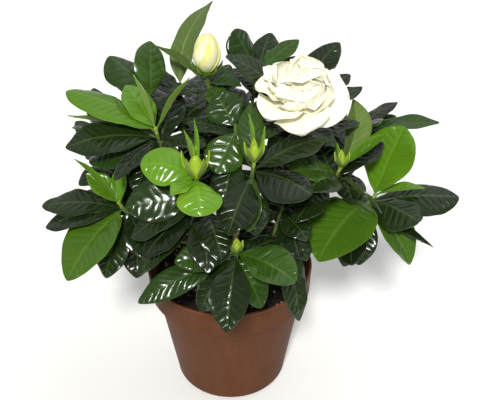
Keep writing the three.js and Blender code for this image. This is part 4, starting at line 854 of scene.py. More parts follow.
# Ruffles: (waves across, waves along, share of the height)
RUFFLES = ((6, 3, 1), (13, -5, 0.7), (0, 11, 0.6))
LINES = 26
LINE_HEIGHT = 0.06
LINE_SWAY = 3
LINE_SWAYS = 4


def valley(phase):
    """1 on each vein's line and 0 between veins: a cosine raised to a power."""
    return (0.5 + 0.5 * np.cos(TURN * phase)) ** VEIN_SHARPNESS


def leaf_shell(blade):
    """A leaf: side veins sunk into its face and quilted between, a midrib sunk into its face and
    standing out of its back, a round stalk, and a margin that turns down a little."""
    veins = int(np.clip(round(blade["length"] / VEIN_SPACING), *VEIN_COUNTS))
    folded_share = FOLDED_VEIN_SHARE if blade["form"] == "folded" else 1
    depth = VEIN_DEPTH * folded_share * min(1, blade["width"] / FULL_VEIN_WIDTH)

    def half_thickness(s, u):
        """Thinner towards the edges by the square of the place across, and thick at the stalk, where
        it falls off across like a circle."""
        stalk = STALK_HALF_THICKNESS * (1 - smooth(s, *STALK_END)) * np.sqrt(1 - STALK_ROUNDNESS * u * u)
        return LEAF_HALF_THICKNESS * (1 - LEAF_THINNING * u * u) + stalk

    def midrib(u, half):
        """1 on the midrib and a bell curve of the distance from it beside."""
        return np.exp(-(half * u / MIDRIB_WIDTH) ** 2)

    def margin(u):
        """The margin turned down: a smooth step over the outer part, less on narrow leaves."""
        return -MARGIN_DEPTH * smooth(np.abs(u), *MARGIN_START) * min(1, blade["width"] / FULL_MARGIN_WIDTH)

    def top_relief(s, u, phase, half):
        """A half sine between side veins less the veins' valleys, less the midrib's bell curve."""
        window = smooth(np.abs(u), *VEIN_START) * (1 - smooth(np.abs(u), *VEIN_END))
        quilt = depth * (QUILT_SHARE * np.sin(np.pi * (phase % 1)) - valley(phase)) * window
        blade_part = smooth(s, *BLADE_START) * (1 - smooth(s, *BLADE_END))
        return blade_part * (quilt - MIDRIB_DEPTH * midrib(u, half) + margin(u))

    def back_relief(s, u, phase, half):
        """The midrib's bell curve, lower towards the tip, and the side veins' lines stand out."""
        rib = RIB_HEIGHT * midrib(u, half) * (1 - RIB_LOSS * s)
        side_ribs = SIDE_RIB_HEIGHT * valley(phase) * (1 - smooth(np.abs(u), *SIDE_RIB_END))
        return smooth(s, *BLADE_START) * (rib + side_ribs - margin(u))

    return blade_shell(blade, AGES[blade["colour"]], veins, LEAF_COLUMNS, LEAF_TIP_ROWS, half_thickness,
                       top_relief, back_relief, slant=VEIN_SLANT, warp_depth=WARP_DEPTH)


def petal_shell(petal):
    """A petal: soft ruffles that grow towards its rim, and fine lines along it."""
    phases = np.random.default_rng(petal["index"]).uniform(0, TURN, 4)
    height = RUFFLE_HEIGHT if petal["index"] < RUFFLED_PETALS else INNER_RUFFLE_HEIGHT

    def relief(s, u, phase, half):
        """A sum of sines across and along, times a smooth step towards the rim, and fine lines: a
        sine across that sways along."""
        ruffle = sum(part_height * np.sin(across * u + start + along * s)
                     for (across, along, part_height), start in zip(RUFFLES, phases))
        lines = LINE_HEIGHT * np.sin(LINES * u + LINE_SWAY * np.sin(LINE_SWAYS * s + phases[-1]))
        return smooth(np.maximum(np.abs(u), s), *RIM_START) * ruffle * height + lines

    return blade_shell(
        petal, 1.0, PETAL_VEINS, PETAL_COLUMNS, PETAL_TIP_ROWS,
        lambda s, u: PETAL_HALF_THICKNESS * (1 - PETAL_THINNING * np.maximum(np.abs(u), s) ** 3),
        relief, lambda *place: -relief(*place), scallop_depth=SCALLOP_DEPTH)


def calyx_lobes(foot, spread, length, width, start_pitch, age):
    """Calyx lobes round a bud, steeper towards their tips: narrow blades with a rounded back."""
    lobes = []
    for k in range(CALYX_LOBES):
        heading = 360 * k / CALYX_LOBES + CALYX_TURN
        lobe = dict(base=foot + spread * direction(heading, 0), heading=heading,
                    pitch=(start_pitch + CALYX_END_PITCH) / 2, droop=start_pitch - CALYX_END_PITCH,
                    length=length, width=width, roll=0, sweep=0, form="lobe", phase=0, index=0)
        lobes.append(blade_shell(
            lobe, age, LOBE_VEINS, LOBE_COLUMNS, LOBE_TIP_ROWS,
            lambda s, u: LOBE_EDGE + LOBE_FULLNESS * np.sqrt(1 - LOBE_ROUNDNESS * u * u),
            lambda s, u, phase, half: 0 * s,
            lambda s, u, phase, half: LOBE_BACK * (1 - u * u) * (1 - s)))
    return lobes


def tube(points, radii, sides, slot=0, **attributes):
    """A closed round body along points, its radius at each point and turn given by radii."""
    along = unit(np.gradient(points, axis=0))
    side = unit(np.cross(np.array([0.0, 1, 0]), along))
    other = np.cross(along, side)
    turn = turns(sides)[..., None]
    spoke = side[:, None] * np.cos(turn) + other[:, None] * np.sin(turn)
    rings = points[:, None] + spoke * np.broadcast_to(radii, (len(points), sides))[..., None]
    length = np.concatenate([[0], np.cumsum(np.linalg.norm(np.diff(points, axis=0), axis=1))])
    vein = np.stack(np.broadcast_arrays(turn[..., 0] / TURN, length[:, None], 0.0), -1)
    return part(rings, None, slot, vein=vein, **attributes)


# Stems: green ones swell at each leaf and woody ones have ridges
STEM_STEP = 2
STEM_ROUND = 14
STEM_AGE = 0.35
YOUNG_STEM_AGE = 1
NODE_SWELL = 0.35
NODE_REACH = 1.6
BARK_DEPTH = 0.1
RIDGES = 7
RIDGE_SHARE = 0.5
RIDGE_SWAY = 2
RIDGE_SWAYS = 9
KNOT_SHARE = 0.7
KNOT_SIZE = 5
KNOT_SPACE = (3, 60)
BRANCH_SEED = 10


def green_stem(shoot, start, end, first_radius, last_radius, age):
    """A green stem along part of its shoot's path, a little swollen where leaves stand on it."""
    path = shoot["path"]
    t = np.linspace(start, end, max(3, int((end - start) * path[3] / STEM_STEP)))
    radius = first_radius + (last_radius - first_radius) * (t - start) / (end - start)
    shares = np.array([blade["share"] for blade in shoot["blades"]] + [1.0])
    apart = np.abs(t[:, None] - shares) * path[3]
    radius = radius + NODE_SWELL * np.exp(-(apart.min(1) / NODE_REACH) ** 2)
    points = path_point(path, t)
    return tube(points, radius[:, None], STEM_ROUND, slot=1, kind=(0, age, 0.5))


def woody_stem(points, first_radius, last_radius, seed):
    """A woody stem: round, with uneven ridges along it and slow swellings."""
    share = np.linspace(0, 1, len(points))[:, None]
    radius = first_radius + (last_radius - first_radius) * share
    around, length = KNOT_SPACE
    lines = round_rings(around + 0 * share, length * share, STEM_ROUND)
    ridges = np.cos(RIDGES * turns(STEM_ROUND) + RIDGE_SWAY * np.sin(RIDGE_SWAYS * share))
    bark = RIDGE_SHARE * ridges + KNOT_SHARE * ripple(lines, KNOT_SIZE, seed)
    return tube(points, radius * (1 + BARK_DEPTH * bark), STEM_ROUND, kind=(0, 0, 0.5))


def line_points(point_at, start, end, length):
    """Points along a path function, one stem step apart."""
    return point_at(np.linspace(start, end, max(4, int(length / STEM_STEP))))


def small_bud(shoot):
    """A small green bud at a shoot's tip, with lobes that rise round it."""
    width, height = shoot["bud"]
    foot = shoot["path"][2] - (0, 0, SMALL_BUD_SINK)
    share = np.linspace(0, 0.97, SMALL_BUD_ROWS)[:, None]
    folds = 1 + SMALL_BUD_FOLD * np.cos(CALYX_LOBES * turns(SMALL_BUD_COLUMNS) - SMALL_BUD_WIND * share)
    radius = bud_radius(share, width * SMALL_BUD_SHARE, TIP_RADIUS) * folds
    rings = foot + round_rings(radius, height * share, SMALL_BUD_COLUMNS)
    body = part(rings, foot + (0, 0, height), kind=(0, 1, 0.5), vein=(0.4, 0.5, 0.5))
    return [body, *calyx_lobes(foot, length=height * SMALL_LOBE_SHARE, **SMALL_LOBE)]


def cream_calyx(shoot):
    """The green cup below the large bud, a cone with a rounded wall, and its lobes."""
    tip = shoot["path"][2]
    share = np.linspace(0, 1, CUP_ROWS)[:, None]
    radius = TIP_RADIUS + (CUP_RADIUS - TIP_RADIUS) * np.sin(share * np.pi / 2) ** CUP_FULLNESS
    rings = tip + round_rings(radius, CUP_HEIGHT * share - CUP_SINK, CUP_COLUMNS)
    cup = part(rings, kind=(0, CUP_AGE, 0.5), vein=(0.4, 0.5, 0.5))
    return [cup, *calyx_lobes(tip + (0, 0, CUP_HEIGHT - 1), **CUP_LOBE)]


def cream_bud():
    """The large bud: rolled petals wind round it, each with an edge that stands a little proud."""
    share = np.linspace(0, 0.985, CREAM_BUD_ROWS)[:, None]
    around = (CREAM_BUD_FOLDS * (turns(CREAM_BUD_COLUMNS) - CREAM_BUD_WIND * share) / TURN) % 1
    edge = smooth(around, 0, FOLD_EDGE) * (1 - around)
    radius = bud_radius(share, CREAM_BUD_RADIUS, CREAM_BUD_NECK) * (FOLD_LOW + FOLD_RISE * edge)
    level = CREAM_BUD_HEIGHT * (share + FOLD_LIFT * edge * share)
    vein = np.stack(np.broadcast_arrays(around, share, 0.0), -1)
    rings = BUD_FOOT + round_rings(radius, level, CREAM_BUD_COLUMNS)
    return part(rings, BUD_FOOT + (0, 0, CREAM_BUD_HEIGHT), vein=vein)


def flower_parts():
    """The flower: every petal of the rule, finely made, round a closed heart."""
    share = np.linspace(HEART_END, 1 - HEART_END, HEART_ROWS)[:, None] * np.pi
    heart = BLOOM_HEART_RADIUS * round_rings(np.sin(share), -np.cos(share), HEART_COLUMNS)
    parts = [*(petal_shell(petal) for petal in bloom_petals()), part(heart, vein=(0, 0, 0.1))]
    for one in parts:
        one["points"] = one["points"] @ BLOOM_TURN.T + BLOOM_FOOT
    return parts


# The pot's turned profile: steps of its stretches, the step below the rim band, the band's upper
# end and the lip's foot below the pot's top, the inner step, and the notches in the foot
POT_SIDES = 360
FLOOR_STEPS = 8
FOOT_STEPS = 22
BODY_STEPS = 40
DRAFT = 0.2
BAND_STEP = 1.2
BAND_END = 2.4
LIP_FOOT = 1.1
STEP_ROUNDING = 1.1
INNER_STEP = 3
INNER_ROUNDING = 5
NOTCH_REACH = 5
NOTCH_EDGE = 0.4


def arc(centre, radius, first, last, steps):
    """Points of an arc in the profile plane, from one angle to another, in degrees."""
    angle = np.radians(np.linspace(first, last, steps))
    return np.stack([centre[0] + radius * np.cos(angle), centre[1] + radius * np.sin(angle)], -1)


def straight(first, last, steps):
    """Points of a straight stretch of a profile, without its last point."""
    share = np.linspace(0, 1, steps, endpoint=False)[:, None]
    return np.array(first) * (1 - share) + np.array(last) * share


def inner_radius(level):
    """Radius of the pot's inner wall at a level."""
    share = (level - BASE_ROUNDING) / (POT_HEIGHT - BAND_HEIGHT - BASE_ROUNDING)
    return BASE_RADIUS + (BODY_TOP_RADIUS - BASE_RADIUS) * share - WALL


def turned(profile, sides=POT_SIDES):
    """Rings of a body turned about +Z, from its profile of (radius, level) points."""
    return round_rings(profile[:, :1], profile[:, 1:], sides)


def pot_part():
    """The pot: a turned shell with a rounded foot, a broad rim band with soft edges, and notches
    where the foot is raised over a short stretch. It starts and ends at the middle of its floor."""
    band_foot = POT_HEIGHT - BAND_HEIGHT
    foot = BASE_RADIUS - BASE_ROUNDING
    body_top = BODY_TOP_RADIUS - DRAFT
    under = band_foot + BAND_STEP
    lip, top = RIM_RADIUS - LIP, POT_HEIGHT - LIP
    inner_foot, inner_top = inner_radius(BASE_ROUNDING), inner_radius(under + INNER_STEP)
    profile = np.concatenate([
        straight((0.5, 0), (foot, 0), FLOOR_STEPS),
        arc((foot, BASE_ROUNDING), BASE_ROUNDING, -90, 0, FOOT_STEPS)[:-1],
        straight((BASE_RADIUS, BASE_ROUNDING), (body_top, band_foot - BAND_STEP), BODY_STEPS),
        arc((body_top + STEP_ROUNDING, band_foot - BAND_STEP), STEP_ROUNDING, 180, 95, 6),
        arc((lip - STEP_ROUNDING, under), STEP_ROUNDING, -85, 0, 6),
        straight((lip, under), (RIM_RADIUS - DRAFT, POT_HEIGHT - BAND_END), 12),
        arc((lip, POT_HEIGHT - LIP_FOOT), LIP, -60, 0, 4),
        arc((lip, top), LIP, 4, 176, 9),
        straight((RIM_RADIUS - WALL, top), (inner_top, under + INNER_STEP), 10),
        straight((inner_top, under + INNER_STEP - 1), (inner_foot, BASE_ROUNDING), 8),
        arc((inner_foot - INNER_ROUNDING, FLOOR + INNER_ROUNDING), INNER_ROUNDING, 0, -90, 6),
        straight((inner_foot - INNER_ROUNDING - 1, FLOOR), (1, FLOOR), 4),
    ])
    rings = turned(profile)
    radius = np.linalg.norm(rings[..., :2], axis=-1)
    turn = np.degrees(np.arctan2(rings[..., 1], rings[..., 0]))
    halfway = 180 / FOOT_NOTCHES
    apart = np.abs((turn - FOOT_NOTCH_TURN + halfway) % (2 * halfway) - halfway) * np.pi / 180 * BASE_RADIUS
    notch = 1 - smooth(apart, FOOT_NOTCH_WIDTH / 2 - NOTCH_EDGE, FOOT_NOTCH_WIDTH / 2 + NOTCH_EDGE)
    inside = BASE_RADIUS - NOTCH_REACH
    notch = notch * smooth(radius, inside - NOTCH_EDGE, inside + NOTCH_EDGE)
    raised = np.maximum(rings[..., 2], FOOT_NOTCH_HEIGHT * notch)
    outside = np.arange(len(profile))[:, None] < FLOOR_STEPS + FOOT_STEPS
    rings[..., 2] = np.where(outside, raised, rings[..., 2])
    return part(rings, (0, 0, FLOOR))


def drill(pot):
    """Cuts the drain holes through the pot's floor with one boolean and applies it."""
    turn = TURN * (np.arange(DRAIN_HOLES) + 0.5) / DRAIN_HOLES
    profile = np.array([[DRAIN_HOLE_RADIUS, -2 * FLOOR], [DRAIN_HOLE_RADIUS, 2 * FLOOR]])
    centres = DRAIN_CIRCLE_RADIUS * np.stack([np.cos(turn), np.sin(turn), 0 * turn], -1)
    cutter = piece("cutter", [part(turned(profile, 32) + centre) for centre in centres], [])
    modifier = pot.modifiers.new("drain", "BOOLEAN")
    modifier.object = cutter
    modifier.solver = "MANIFOLD"
    drilled = bpy.data.meshes.new_from_object(pot.evaluated_get(bpy.context.evaluated_depsgraph_get()))
    pot.modifiers.clear()
    pot.data = drilled
    bpy.data.objects.remove(cutter)


# Soil: its lumps and grains by (count, smallest and largest size, seed, slot, flatness), and the
# waves of its top by (height, size, seed)
SOIL_SIDES = 260
SOIL_RINGS = 70
SOIL_WALL_STEPS = 10
SOIL_FOOT_REACH = 7
SOIL_SHOULDER = 5
CRUMBS = dict(count=1500, sizes=(0.5, 1.7), seed=5, slot=0, flatness=0.7)
GRAINS = dict(count=130, sizes=(0.6, 1.5), seed=6, slot=1, flatness=0.9)
SOIL_WAVES = ((0.7, 22, 1), (0.45, 5, 2), (0.25, 2.1, 3))
# A lump's rings by (radius, level), and its tip's level
LUMP_RINGS = ((0.55, -0.85), (1, -0.2), (0.85, 0.5))
LUMP_TIP = 0.95
LUMP_SIDES = 6
LUMP_RISE = 0.3
LUMP_STRETCH = (0.6, 1.2)
LUMP_DENTS = (0.75, 1.15)
LUMP_CLEARANCE = 3
BITS = 40
BITS_SEED = 7
BITS_REACH = 52
BIT_LENGTHS = (4, 14)
BIT_RADII = (0.25, 0.6)
BIT_BEND = 0.25
BIT_RISE = 0.3
BIT_ARCH = 0.05
BIT_CLEARANCE = 2
BIT_ROWS = 8
BIT_SIDES = 6


def soil_height(x, y):
    """The soil's level: higher at the middle, with slow hollows and small lumps."""
    edge = inner_radius(POT_HEIGHT - BAND_HEIGHT)
    flat = np.stack([x, y, 0 * x], -1)
    level = SOIL_LEVEL - SOIL_CROWN + 2 * SOIL_CROWN * (1 - (np.hypot(x, y) / edge) ** 2)
    for height, size, seed in SOIL_WAVES:
        level = level + height * ripple(flat, size, seed)
    return level


def soil_body():
    """The soil: a turned body that fills the pot, its top raised by the soil's level."""
    low = BASE_ROUNDING + 1
    foot = inner_radius(low)
    edge = inner_radius(POT_HEIGHT - BAND_HEIGHT) - GAP
    wall = [[0.5, FLOOR + GAP], [foot - SOIL_FOOT_REACH, FLOOR + GAP], [foot - GAP, low]]
    side = straight((foot - GAP, low + 1), (edge, SOIL_LEVEL - SOIL_SHOULDER), SOIL_WALL_STEPS)
    top = np.stack([np.linspace(edge, 0.4, SOIL_RINGS), np.full(SOIL_RINGS, SOIL_LEVEL)], -1)
    rings = turned(np.concatenate([wall, side, top]), SOIL_SIDES)
    surface = rings[-SOIL_RINGS:]
    surface[..., 2] = soil_height(surface[..., 0], surface[..., 1])
    return part(rings, (0, 0, soil_height(np.array(0.0), np.array(0.0))))


def lumps(count, sizes, seed, slot, flatness):
    """Small uneven lumps on the soil: three rings and a tip, pushed in and out by a draw,
    stretched and turned."""
    draws = np.random.default_rng(seed)
    turn = TURN * np.arange(LUMP_SIDES) / LUMP_SIDES
    shape = np.stack([np.stack([np.cos(turn + k) * radius, np.sin(turn + k) * radius, 0 * turn + level], -1)
                      for k, (radius, level) in enumerate(LUMP_RINGS)])
    parts = []
    for _ in range(count):
        radius = (inner_radius(SOIL_LEVEL) - LUMP_CLEARANCE) * math.sqrt(draws.uniform())
        angle = draws.uniform(0, TURN)
        x, y = radius * math.cos(angle), radius * math.sin(angle)
        size = draws.uniform(*sizes)
        scale = size * draws.uniform(*LUMP_STRETCH, 3) * (1, 1, flatness)
        spin = np.array(Vector(draws.normal(size=3)).to_track_quat("Z", "Y").to_matrix())
        body = shape * draws.uniform(*LUMP_DENTS, shape.shape[:2])[..., None] * scale
        place = np.array([x, y, float(soil_height(np.array(x), np.array(y))) + size * LUMP_RISE])
        tip = np.array([0, 0, LUMP_TIP]) * scale
        parts.append(part(body @ spin.T + place, tip @ spin.T + place, slot))
    return parts


def bark_bits():
    """Short bent bits of bark and root that lie on the soil."""
    draws = np.random.default_rng(BITS_SEED)
    parts = []
    for _ in range(BITS):
        radius, angle = BITS_REACH * math.sqrt(draws.uniform()), draws.uniform(0, TURN)
        heading, length = draws.uniform(0, TURN), draws.uniform(*BIT_LENGTHS)
        share = np.linspace(-0.5, 0.5, BIT_ROWS)
        bend = draws.uniform(-BIT_BEND, BIT_BEND) * share ** 2
        cos, sin = math.cos(heading), math.sin(heading)
        x = radius * math.cos(angle) + length * (share * cos - bend * sin)
        y = radius * math.sin(angle) + length * (share * sin + bend * cos)
        if (np.hypot(x, y) < inner_radius(SOIL_LEVEL) - BIT_CLEARANCE).all():
            level = soil_height(x, y).max() + BIT_RISE + BIT_ARCH * length * np.cos(np.pi * share)
            parts.append(tube(np.stack([x, y, level], -1), draws.uniform(*BIT_RADII), BIT_SIDES))
    return parts


# Colours of the materials: linear red, green and blue
COLOURS = dict(
    old_leaf=(0.0065, 0.0130, 0.0035),
    green_leaf=(0.0160, 0.0440, 0.0045),
    fresh_leaf=(0.0520, 0.1250, 0.0070),
    young_leaf=(0.1050, 0.2500, 0.0100),
    bud_green=(0.3000, 0.4300, 0.0300),
    paler=(1.6, 1.4, 1.4),
    deeper=(0.62, 0.72, 0.7),
    midrib=(0.12, 0.20, 0.04),
    old_back=(0.060, 0.105, 0.022),
    young_back=(0.15, 0.24, 0.035),
    back_ribs=(0.20, 0.27, 0.085),
    old_stem=(0.085, 0.115, 0.030),
    green_stem=(0.13, 0.21, 0.035),
    young_stem=(0.30, 0.46, 0.06),
    stem_streak=(0.6, 0.55, 0.5),
    bark_crack=(0.055, 0.038, 0.024),
    bark=(0.17, 0.125, 0.080),
    pale_bark=(0.33, 0.27, 0.19),
    bark_speck=(0.045, 0.032, 0.02),
    petal=(0.97, 0.935, 0.73),
    pale_petal=(0.98, 0.96, 0.83),
    petal_foot=(0.84, 0.78, 0.42),
    bud_cream=(0.84, 0.83, 0.60),
    bud_streak=(0.78, 0.76, 0.26),
    # Darker yellow green of the large bud's furrows: its own tint and painted shade
    bud_furrow=(0.62, 0.62, 0.10),
    bud_foot=(0.40, 0.46, 0.09),
    pot=(0.082, 0.027, 0.009),
    pale_pot=(0.104, 0.035, 0.012),
    pot_flow=(0.125, 0.055, 0.030),
    # Lighter, redder top of the pot's rim: a painted highlight
    rim_top_highlight=(0.17, 0.05, 0.022),
    pot_dust=(0.22, 0.15, 0.11),
    soil_shade=(0.006, 0.004, 0.003),
    soil=(0.022, 0.014, 0.009),
    soil_crumb=(0.075, 0.048, 0.030),
    soil_fibre=(0.11, 0.075, 0.045),
    grain_pit=(0.42, 0.38, 0.33),
    grain=(0.95, 0.93, 0.88),
    floor=(0.86, 0.86, 0.85),
    pale_floor=(0.90, 0.90, 0.89),
)

# Uneven patterns: waves in a metre, detail, roughness, and how much closer they lie on each axis
PATTERNS = dict(
    leaf_cloud=(45,),
    leaf_grain=(900, 2),
    stem_streak=(260,),
    bark_crack=(420, 6, 0.55, (1, 1, 0.25)),
    bark_speck=(700, 2),
    petal_cloud=(60,),
    bud_streak=(330, 3, 0.55, (1, 1, 0.2)),
    pot_cloud=(14, 5),
    pot_flow=(120, 4, 0.55, (1, 1, 0.12)),
    pot_scuff=(60, 6, 0.7, (1, 1, 6)),
    pot_grain=(1500, 2),
    soil_cloud=(300, 6, 0.7),
    soil_fibre=(900, 3, 0.55, (1, 0.25, 1)),
    grain_pit=(1400, 4),
    floor_cloud=(3, 2),
)
PATTERN_ENDS = (4, 0.55, (1, 1, 1))


class Value:
    """An output of a node that can stand in a formula: each sign in it adds a math node."""

    def __init__(self, recipe, socket):
        self.recipe = recipe
        self.socket = socket

    def __add__(self, other):
        return self.recipe.math("ADD", self, other)

    def __sub__(self, other):
        return self.recipe.math("SUBTRACT", self, other)

    def __mul__(self, other):
        return self.recipe.math("MULTIPLY", self, other)

    def rise(self, low, high, first=0, last=1):
        """A smooth step from first, where the value is low, to last, where it is high."""
        inputs = {"Value": self, "From Min": low, "From Max": high, "To Min": first, "To Max": last}
        return self.recipe.node("ShaderNodeMapRange", inputs, interpolation_type="SMOOTHSTEP")

    def fall(self, low, high):
        """A smooth step from 1 to 0."""
        return self.rise(low, high, 1, 0)


class Recipe:
    """A material's node tree, with one short call for each kind of node. An input is an output of
    another node, a plain value or a colour's name."""

    def __init__(self, name, **values):
        self.material = bpy.data.materials.new(name)
        self.material.use_nodes = True
        self.tree = self.material.node_tree
        self.shader = self.tree.nodes["Principled BSDF"]
        for key, value in values.items():
            self.shader.inputs[key.replace("_", " ")].default_value = value

    def node(self, kind, inputs, output=0, **settings):
        """Adds a node with its settings, joins or sets its inputs, and gives one of its outputs."""
        made = self.tree.nodes.new(kind)
        for key, value in settings.items():
            setattr(made, key, value)
        for key, value in inputs.items():
            if isinstance(value, Value):
                self.tree.links.new(value.socket, made.inputs[key])
            elif isinstance(value, str):
                made.inputs[key].default_value = (*COLOURS[value], 1)
            else:
                made.inputs[key].default_value = value
        return Value(self, made.outputs[output])

    def math(self, operation, a, b=0):
        """A sum, product or other operation on two values."""
        return self.node("ShaderNodeMath", {0: a, 1: b}, operation=operation)

    def mix(self, share, a, b, blend="MIX"):
        """The colour a share of the way from a to b, or from a to another blend of both."""
        return self.node("ShaderNodeMix", {0: share, 6: a, 7: b}, 2, data_type="RGBA", blend_type=blend)

    def tint(self, colour, factor):
        """A colour times a factor for red, green and blue."""
        return self.mix(1, colour, factor, "MULTIPLY")

    def spot(self):
        """The place in the piece's own coordinates, in metres."""
        return self.node("ShaderNodeTexCoord", {}, 3)

    def noise(self, name):
        """An uneven pattern by its row in the table, from 0 to 1."""
        row = PATTERNS[name]
        scale, detail, roughness, squeeze = (*row, *PATTERN_ENDS[len(row) - 1:])
        place = self.node("ShaderNodeMapping", {"Vector": self.spot(), "Scale": squeeze})
        inputs = {"Vector": place, "Scale": scale, "Detail": detail, "Roughness": roughness}
        return self.node("ShaderNodeTexNoise", inputs)

    def split(self, vector):
        """The three numbers of a vector."""
        made = self.node("ShaderNodeSeparateXYZ", {0: vector}).socket.node
        return [Value(self, output) for output in made.outputs]

    def three(self, name):
        """The three numbers of the mesh's attribute."""
        return self.split(self.node("ShaderNodeAttribute", {}, 1, attribute_name=name))

    def ramp(self, value, stops):
        """A colour by a value, blended between the stops beside it."""
        made = self.node("ShaderNodeValToRGB", {0: value})
        band = made.socket.node.color_ramp
        while len(band.elements) < len(stops):
            band.elements.new(0.5)
        for element, (spot, name) in zip(band.elements, stops.items()):
            element.position = spot
            element.color = (*COLOURS[name], 1)
        return made

    def finish(self, colour, roughness, height=None, distance=0, strength=1):
        """Gives the shader its colour and roughness, and bumps of a height in metres."""
        looks = {"Base Color": colour, "Roughness": roughness}
        if height:
            inputs = {"Height": height, "Distance": distance, "Strength": strength}
            looks["Normal"] = self.node("ShaderNodeBump", inputs)
        for key, value in looks.items():
            self.tree.links.new(value.socket, self.shader.inputs[key])
        return self.material


def leaf_material():
    """Glossy leaf: its green by age, a pale midrib, side veins a shade apart, a painted highlight along
    the thin margin, and an olive back with a matter finish."""
    recipe = Recipe("glossy_leaf", Specular_IOR_Level=0.4)
    across, phase, _ = recipe.three("vein")
    under, age, chance = recipe.three("kind")
    off = recipe.math("ABSOLUTE", across)
    vein = recipe.math("PINGPONG", phase, 0.5).fall(0, 0.1) * off.fall(0.55, 0.9)
    midrib = off.fall(0.025, 0.085)
    cloud = recipe.noise("leaf_cloud")
    green = recipe.ramp(age + (chance - 0.5) * 0.12 + (cloud - 0.5) * 0.16, {
        0.05: "old_leaf", 0.32: "green_leaf", 0.5: "fresh_leaf", 0.8: "young_leaf", 0.95: "bud_green"})
    pale = recipe.tint(green, "paler")
    side = recipe.mix(age.rise(0.4, 0.7), pale, recipe.tint(green, "deeper"))
    face = recipe.mix(vein * 0.35, green, side)
    face = recipe.mix(midrib * 0.65, face, recipe.mix(0.3, pale, "midrib"))
    # Painted highlight: a thin paler line along the margin, as where the edge catches the light
    face = recipe.mix(off.rise(0.95, 0.995) * 0.5, face, pale)
    back = recipe.mix(age.rise(0, 1), "old_back", "young_back")
    back = recipe.mix(recipe.math("MAXIMUM", vein * 0.35, midrib * 0.8), back, "back_ribs")
    rough = cloud * 0.16 + 0.12 + under * 0.3
    height = vein * -1 + recipe.noise("leaf_grain") * 0.12
    return recipe.finish(recipe.mix(under, face, back), rough, height, 0.00025, 0.5)


def stem_material():
    """Green stem: olive with a fresh tip, faint long streaks and a satin finish."""
    recipe = Recipe("green_stem", Specular_IOR_Level=0.4)
    _, age, _ = recipe.three("kind")
    streak = recipe.noise("stem_streak")
    green = recipe.ramp(age, {0: "old_stem", 0.5: "green_stem", 1: "young_stem"})
    colour = recipe.mix(streak.rise(0.35, 0.7), green, recipe.tint(green, "stem_streak"))
    return recipe.finish(colour, streak.rise(0.2, 0.8, 0.38, 0.6), streak, 0.0003, 0.5)


def bark_material():
    """Bark: grey brown with long pale cracks and darker specks."""
    recipe = Recipe("thin_bark", Specular_IOR_Level=0.25)
    crack = recipe.noise("bark_crack")
    colour = recipe.ramp(crack, {0.3: "bark_crack", 0.5: "bark", 0.72: "pale_bark"})
    colour = recipe.mix(recipe.noise("bark_speck").rise(0.6, 0.7), colour, "bark_speck")
    return recipe.finish(colour, crack.rise(0.2, 0.8, 0.75, 0.95), crack, 0.0008, 0.8)


def petal_material():
    """Petal: soft warm white, cream towards its foot, with faint lines along it."""
    recipe = Recipe("white_petal", Subsurface_Weight=0.2, Subsurface_Scale=0.003,
                    Subsurface_Radius=(1, 0.9, 0.6), Specular_IOR_Level=0.4)
    across, _, along = recipe.three("vein")
    cloud = recipe.noise("petal_cloud")
    white = recipe.mix(cloud, "petal", "pale_petal")
    colour = recipe.mix(along.fall(0.05, 0.5) * 0.75, white, "petal_foot")
    height = recipe.math("SINE", across * 34) * 0.3 + cloud
    return recipe.finish(colour, cloud.rise(0.2, 0.8, 0.5, 0.7), height, 0.0002, 0.2)


def bud_material():
    """Large bud: cream with yellow green streaks, and darker yellow green in the furrows between its rolled
    petals, its own tint and painted shade.
    """
    recipe = Recipe("cream_bud", Subsurface_Weight=0.2, Subsurface_Scale=0.003,
                    Subsurface_Radius=(1, 0.9, 0.5))
    around, height, _ = recipe.three("vein")
    streak = recipe.noise("bud_streak")
    # Painted shade with the bud's own tint: the furrows between rolled petals are darker yellow green
    furrow = recipe.math("PINGPONG", around, 0.5).fall(0, 0.25)
    colour = recipe.mix(streak.rise(0.35, 0.65), "bud_cream", "bud_streak")
    colour = recipe.mix(furrow * 0.7, colour, "bud_furrow")
    colour = recipe.mix(height.fall(0, 0.4) * 0.6, colour, "bud_foot")
    return recipe.finish(colour, streak.rise(0.2, 0.8, 0.4, 0.6), streak, 0.0004, 0.4)


def pot_material():
    """Pot: reddish brown moulded plastic, a little chalky, with flow marks, scuffs, soil dust and a painted
    highlight along the top of its rim.
    """
    recipe = Recipe("moulded_pot", Specular_IOR_Level=0.12)
    cloud, flow = recipe.noise("pot_cloud"), recipe.noise("pot_flow")
    _, _, level = recipe.split(recipe.spot())
    brown = recipe.mix(cloud, "pot", "pale_pot")
    brown = recipe.mix(flow.rise(0.3, 0.8, 0, 0.35), brown, "pot_flow")
    # Painted highlight: the top of the rim is painted lighter and redder, as where light catches it
    brown = recipe.mix(level.rise(0.1075, 0.1095) * 0.6, brown, "rim_top_highlight")
    dust = recipe.noise("pot_scuff").rise(0.6, 0.78) * 0.2
    rough = cloud.rise(0.3, 0.7, 0.5, 0.62) + dust * 0.4
    height = flow * 0.6 + recipe.noise("pot_grain")
    return recipe.finish(recipe.mix(dust, brown, "pot_dust"), rough, height, 0.0002, 0.35)


def soil_material():
    """Potting soil: nearly black brown crumbs with paler fibres, moist here and there."""
    recipe = Recipe("potting_soil", Specular_IOR_Level=0.3)
    cloud = recipe.noise("soil_cloud")
    colour = recipe.ramp(cloud, {0.25: "soil_shade", 0.55: "soil", 0.85: "soil_crumb"})
    colour = recipe.mix(recipe.noise("soil_fibre").rise(0.64, 0.72), colour, "soil_fibre")
    return recipe.finish(colour, cloud.rise(0.3, 0.7, 0.55, 0.95), cloud, 0.0015, 1)


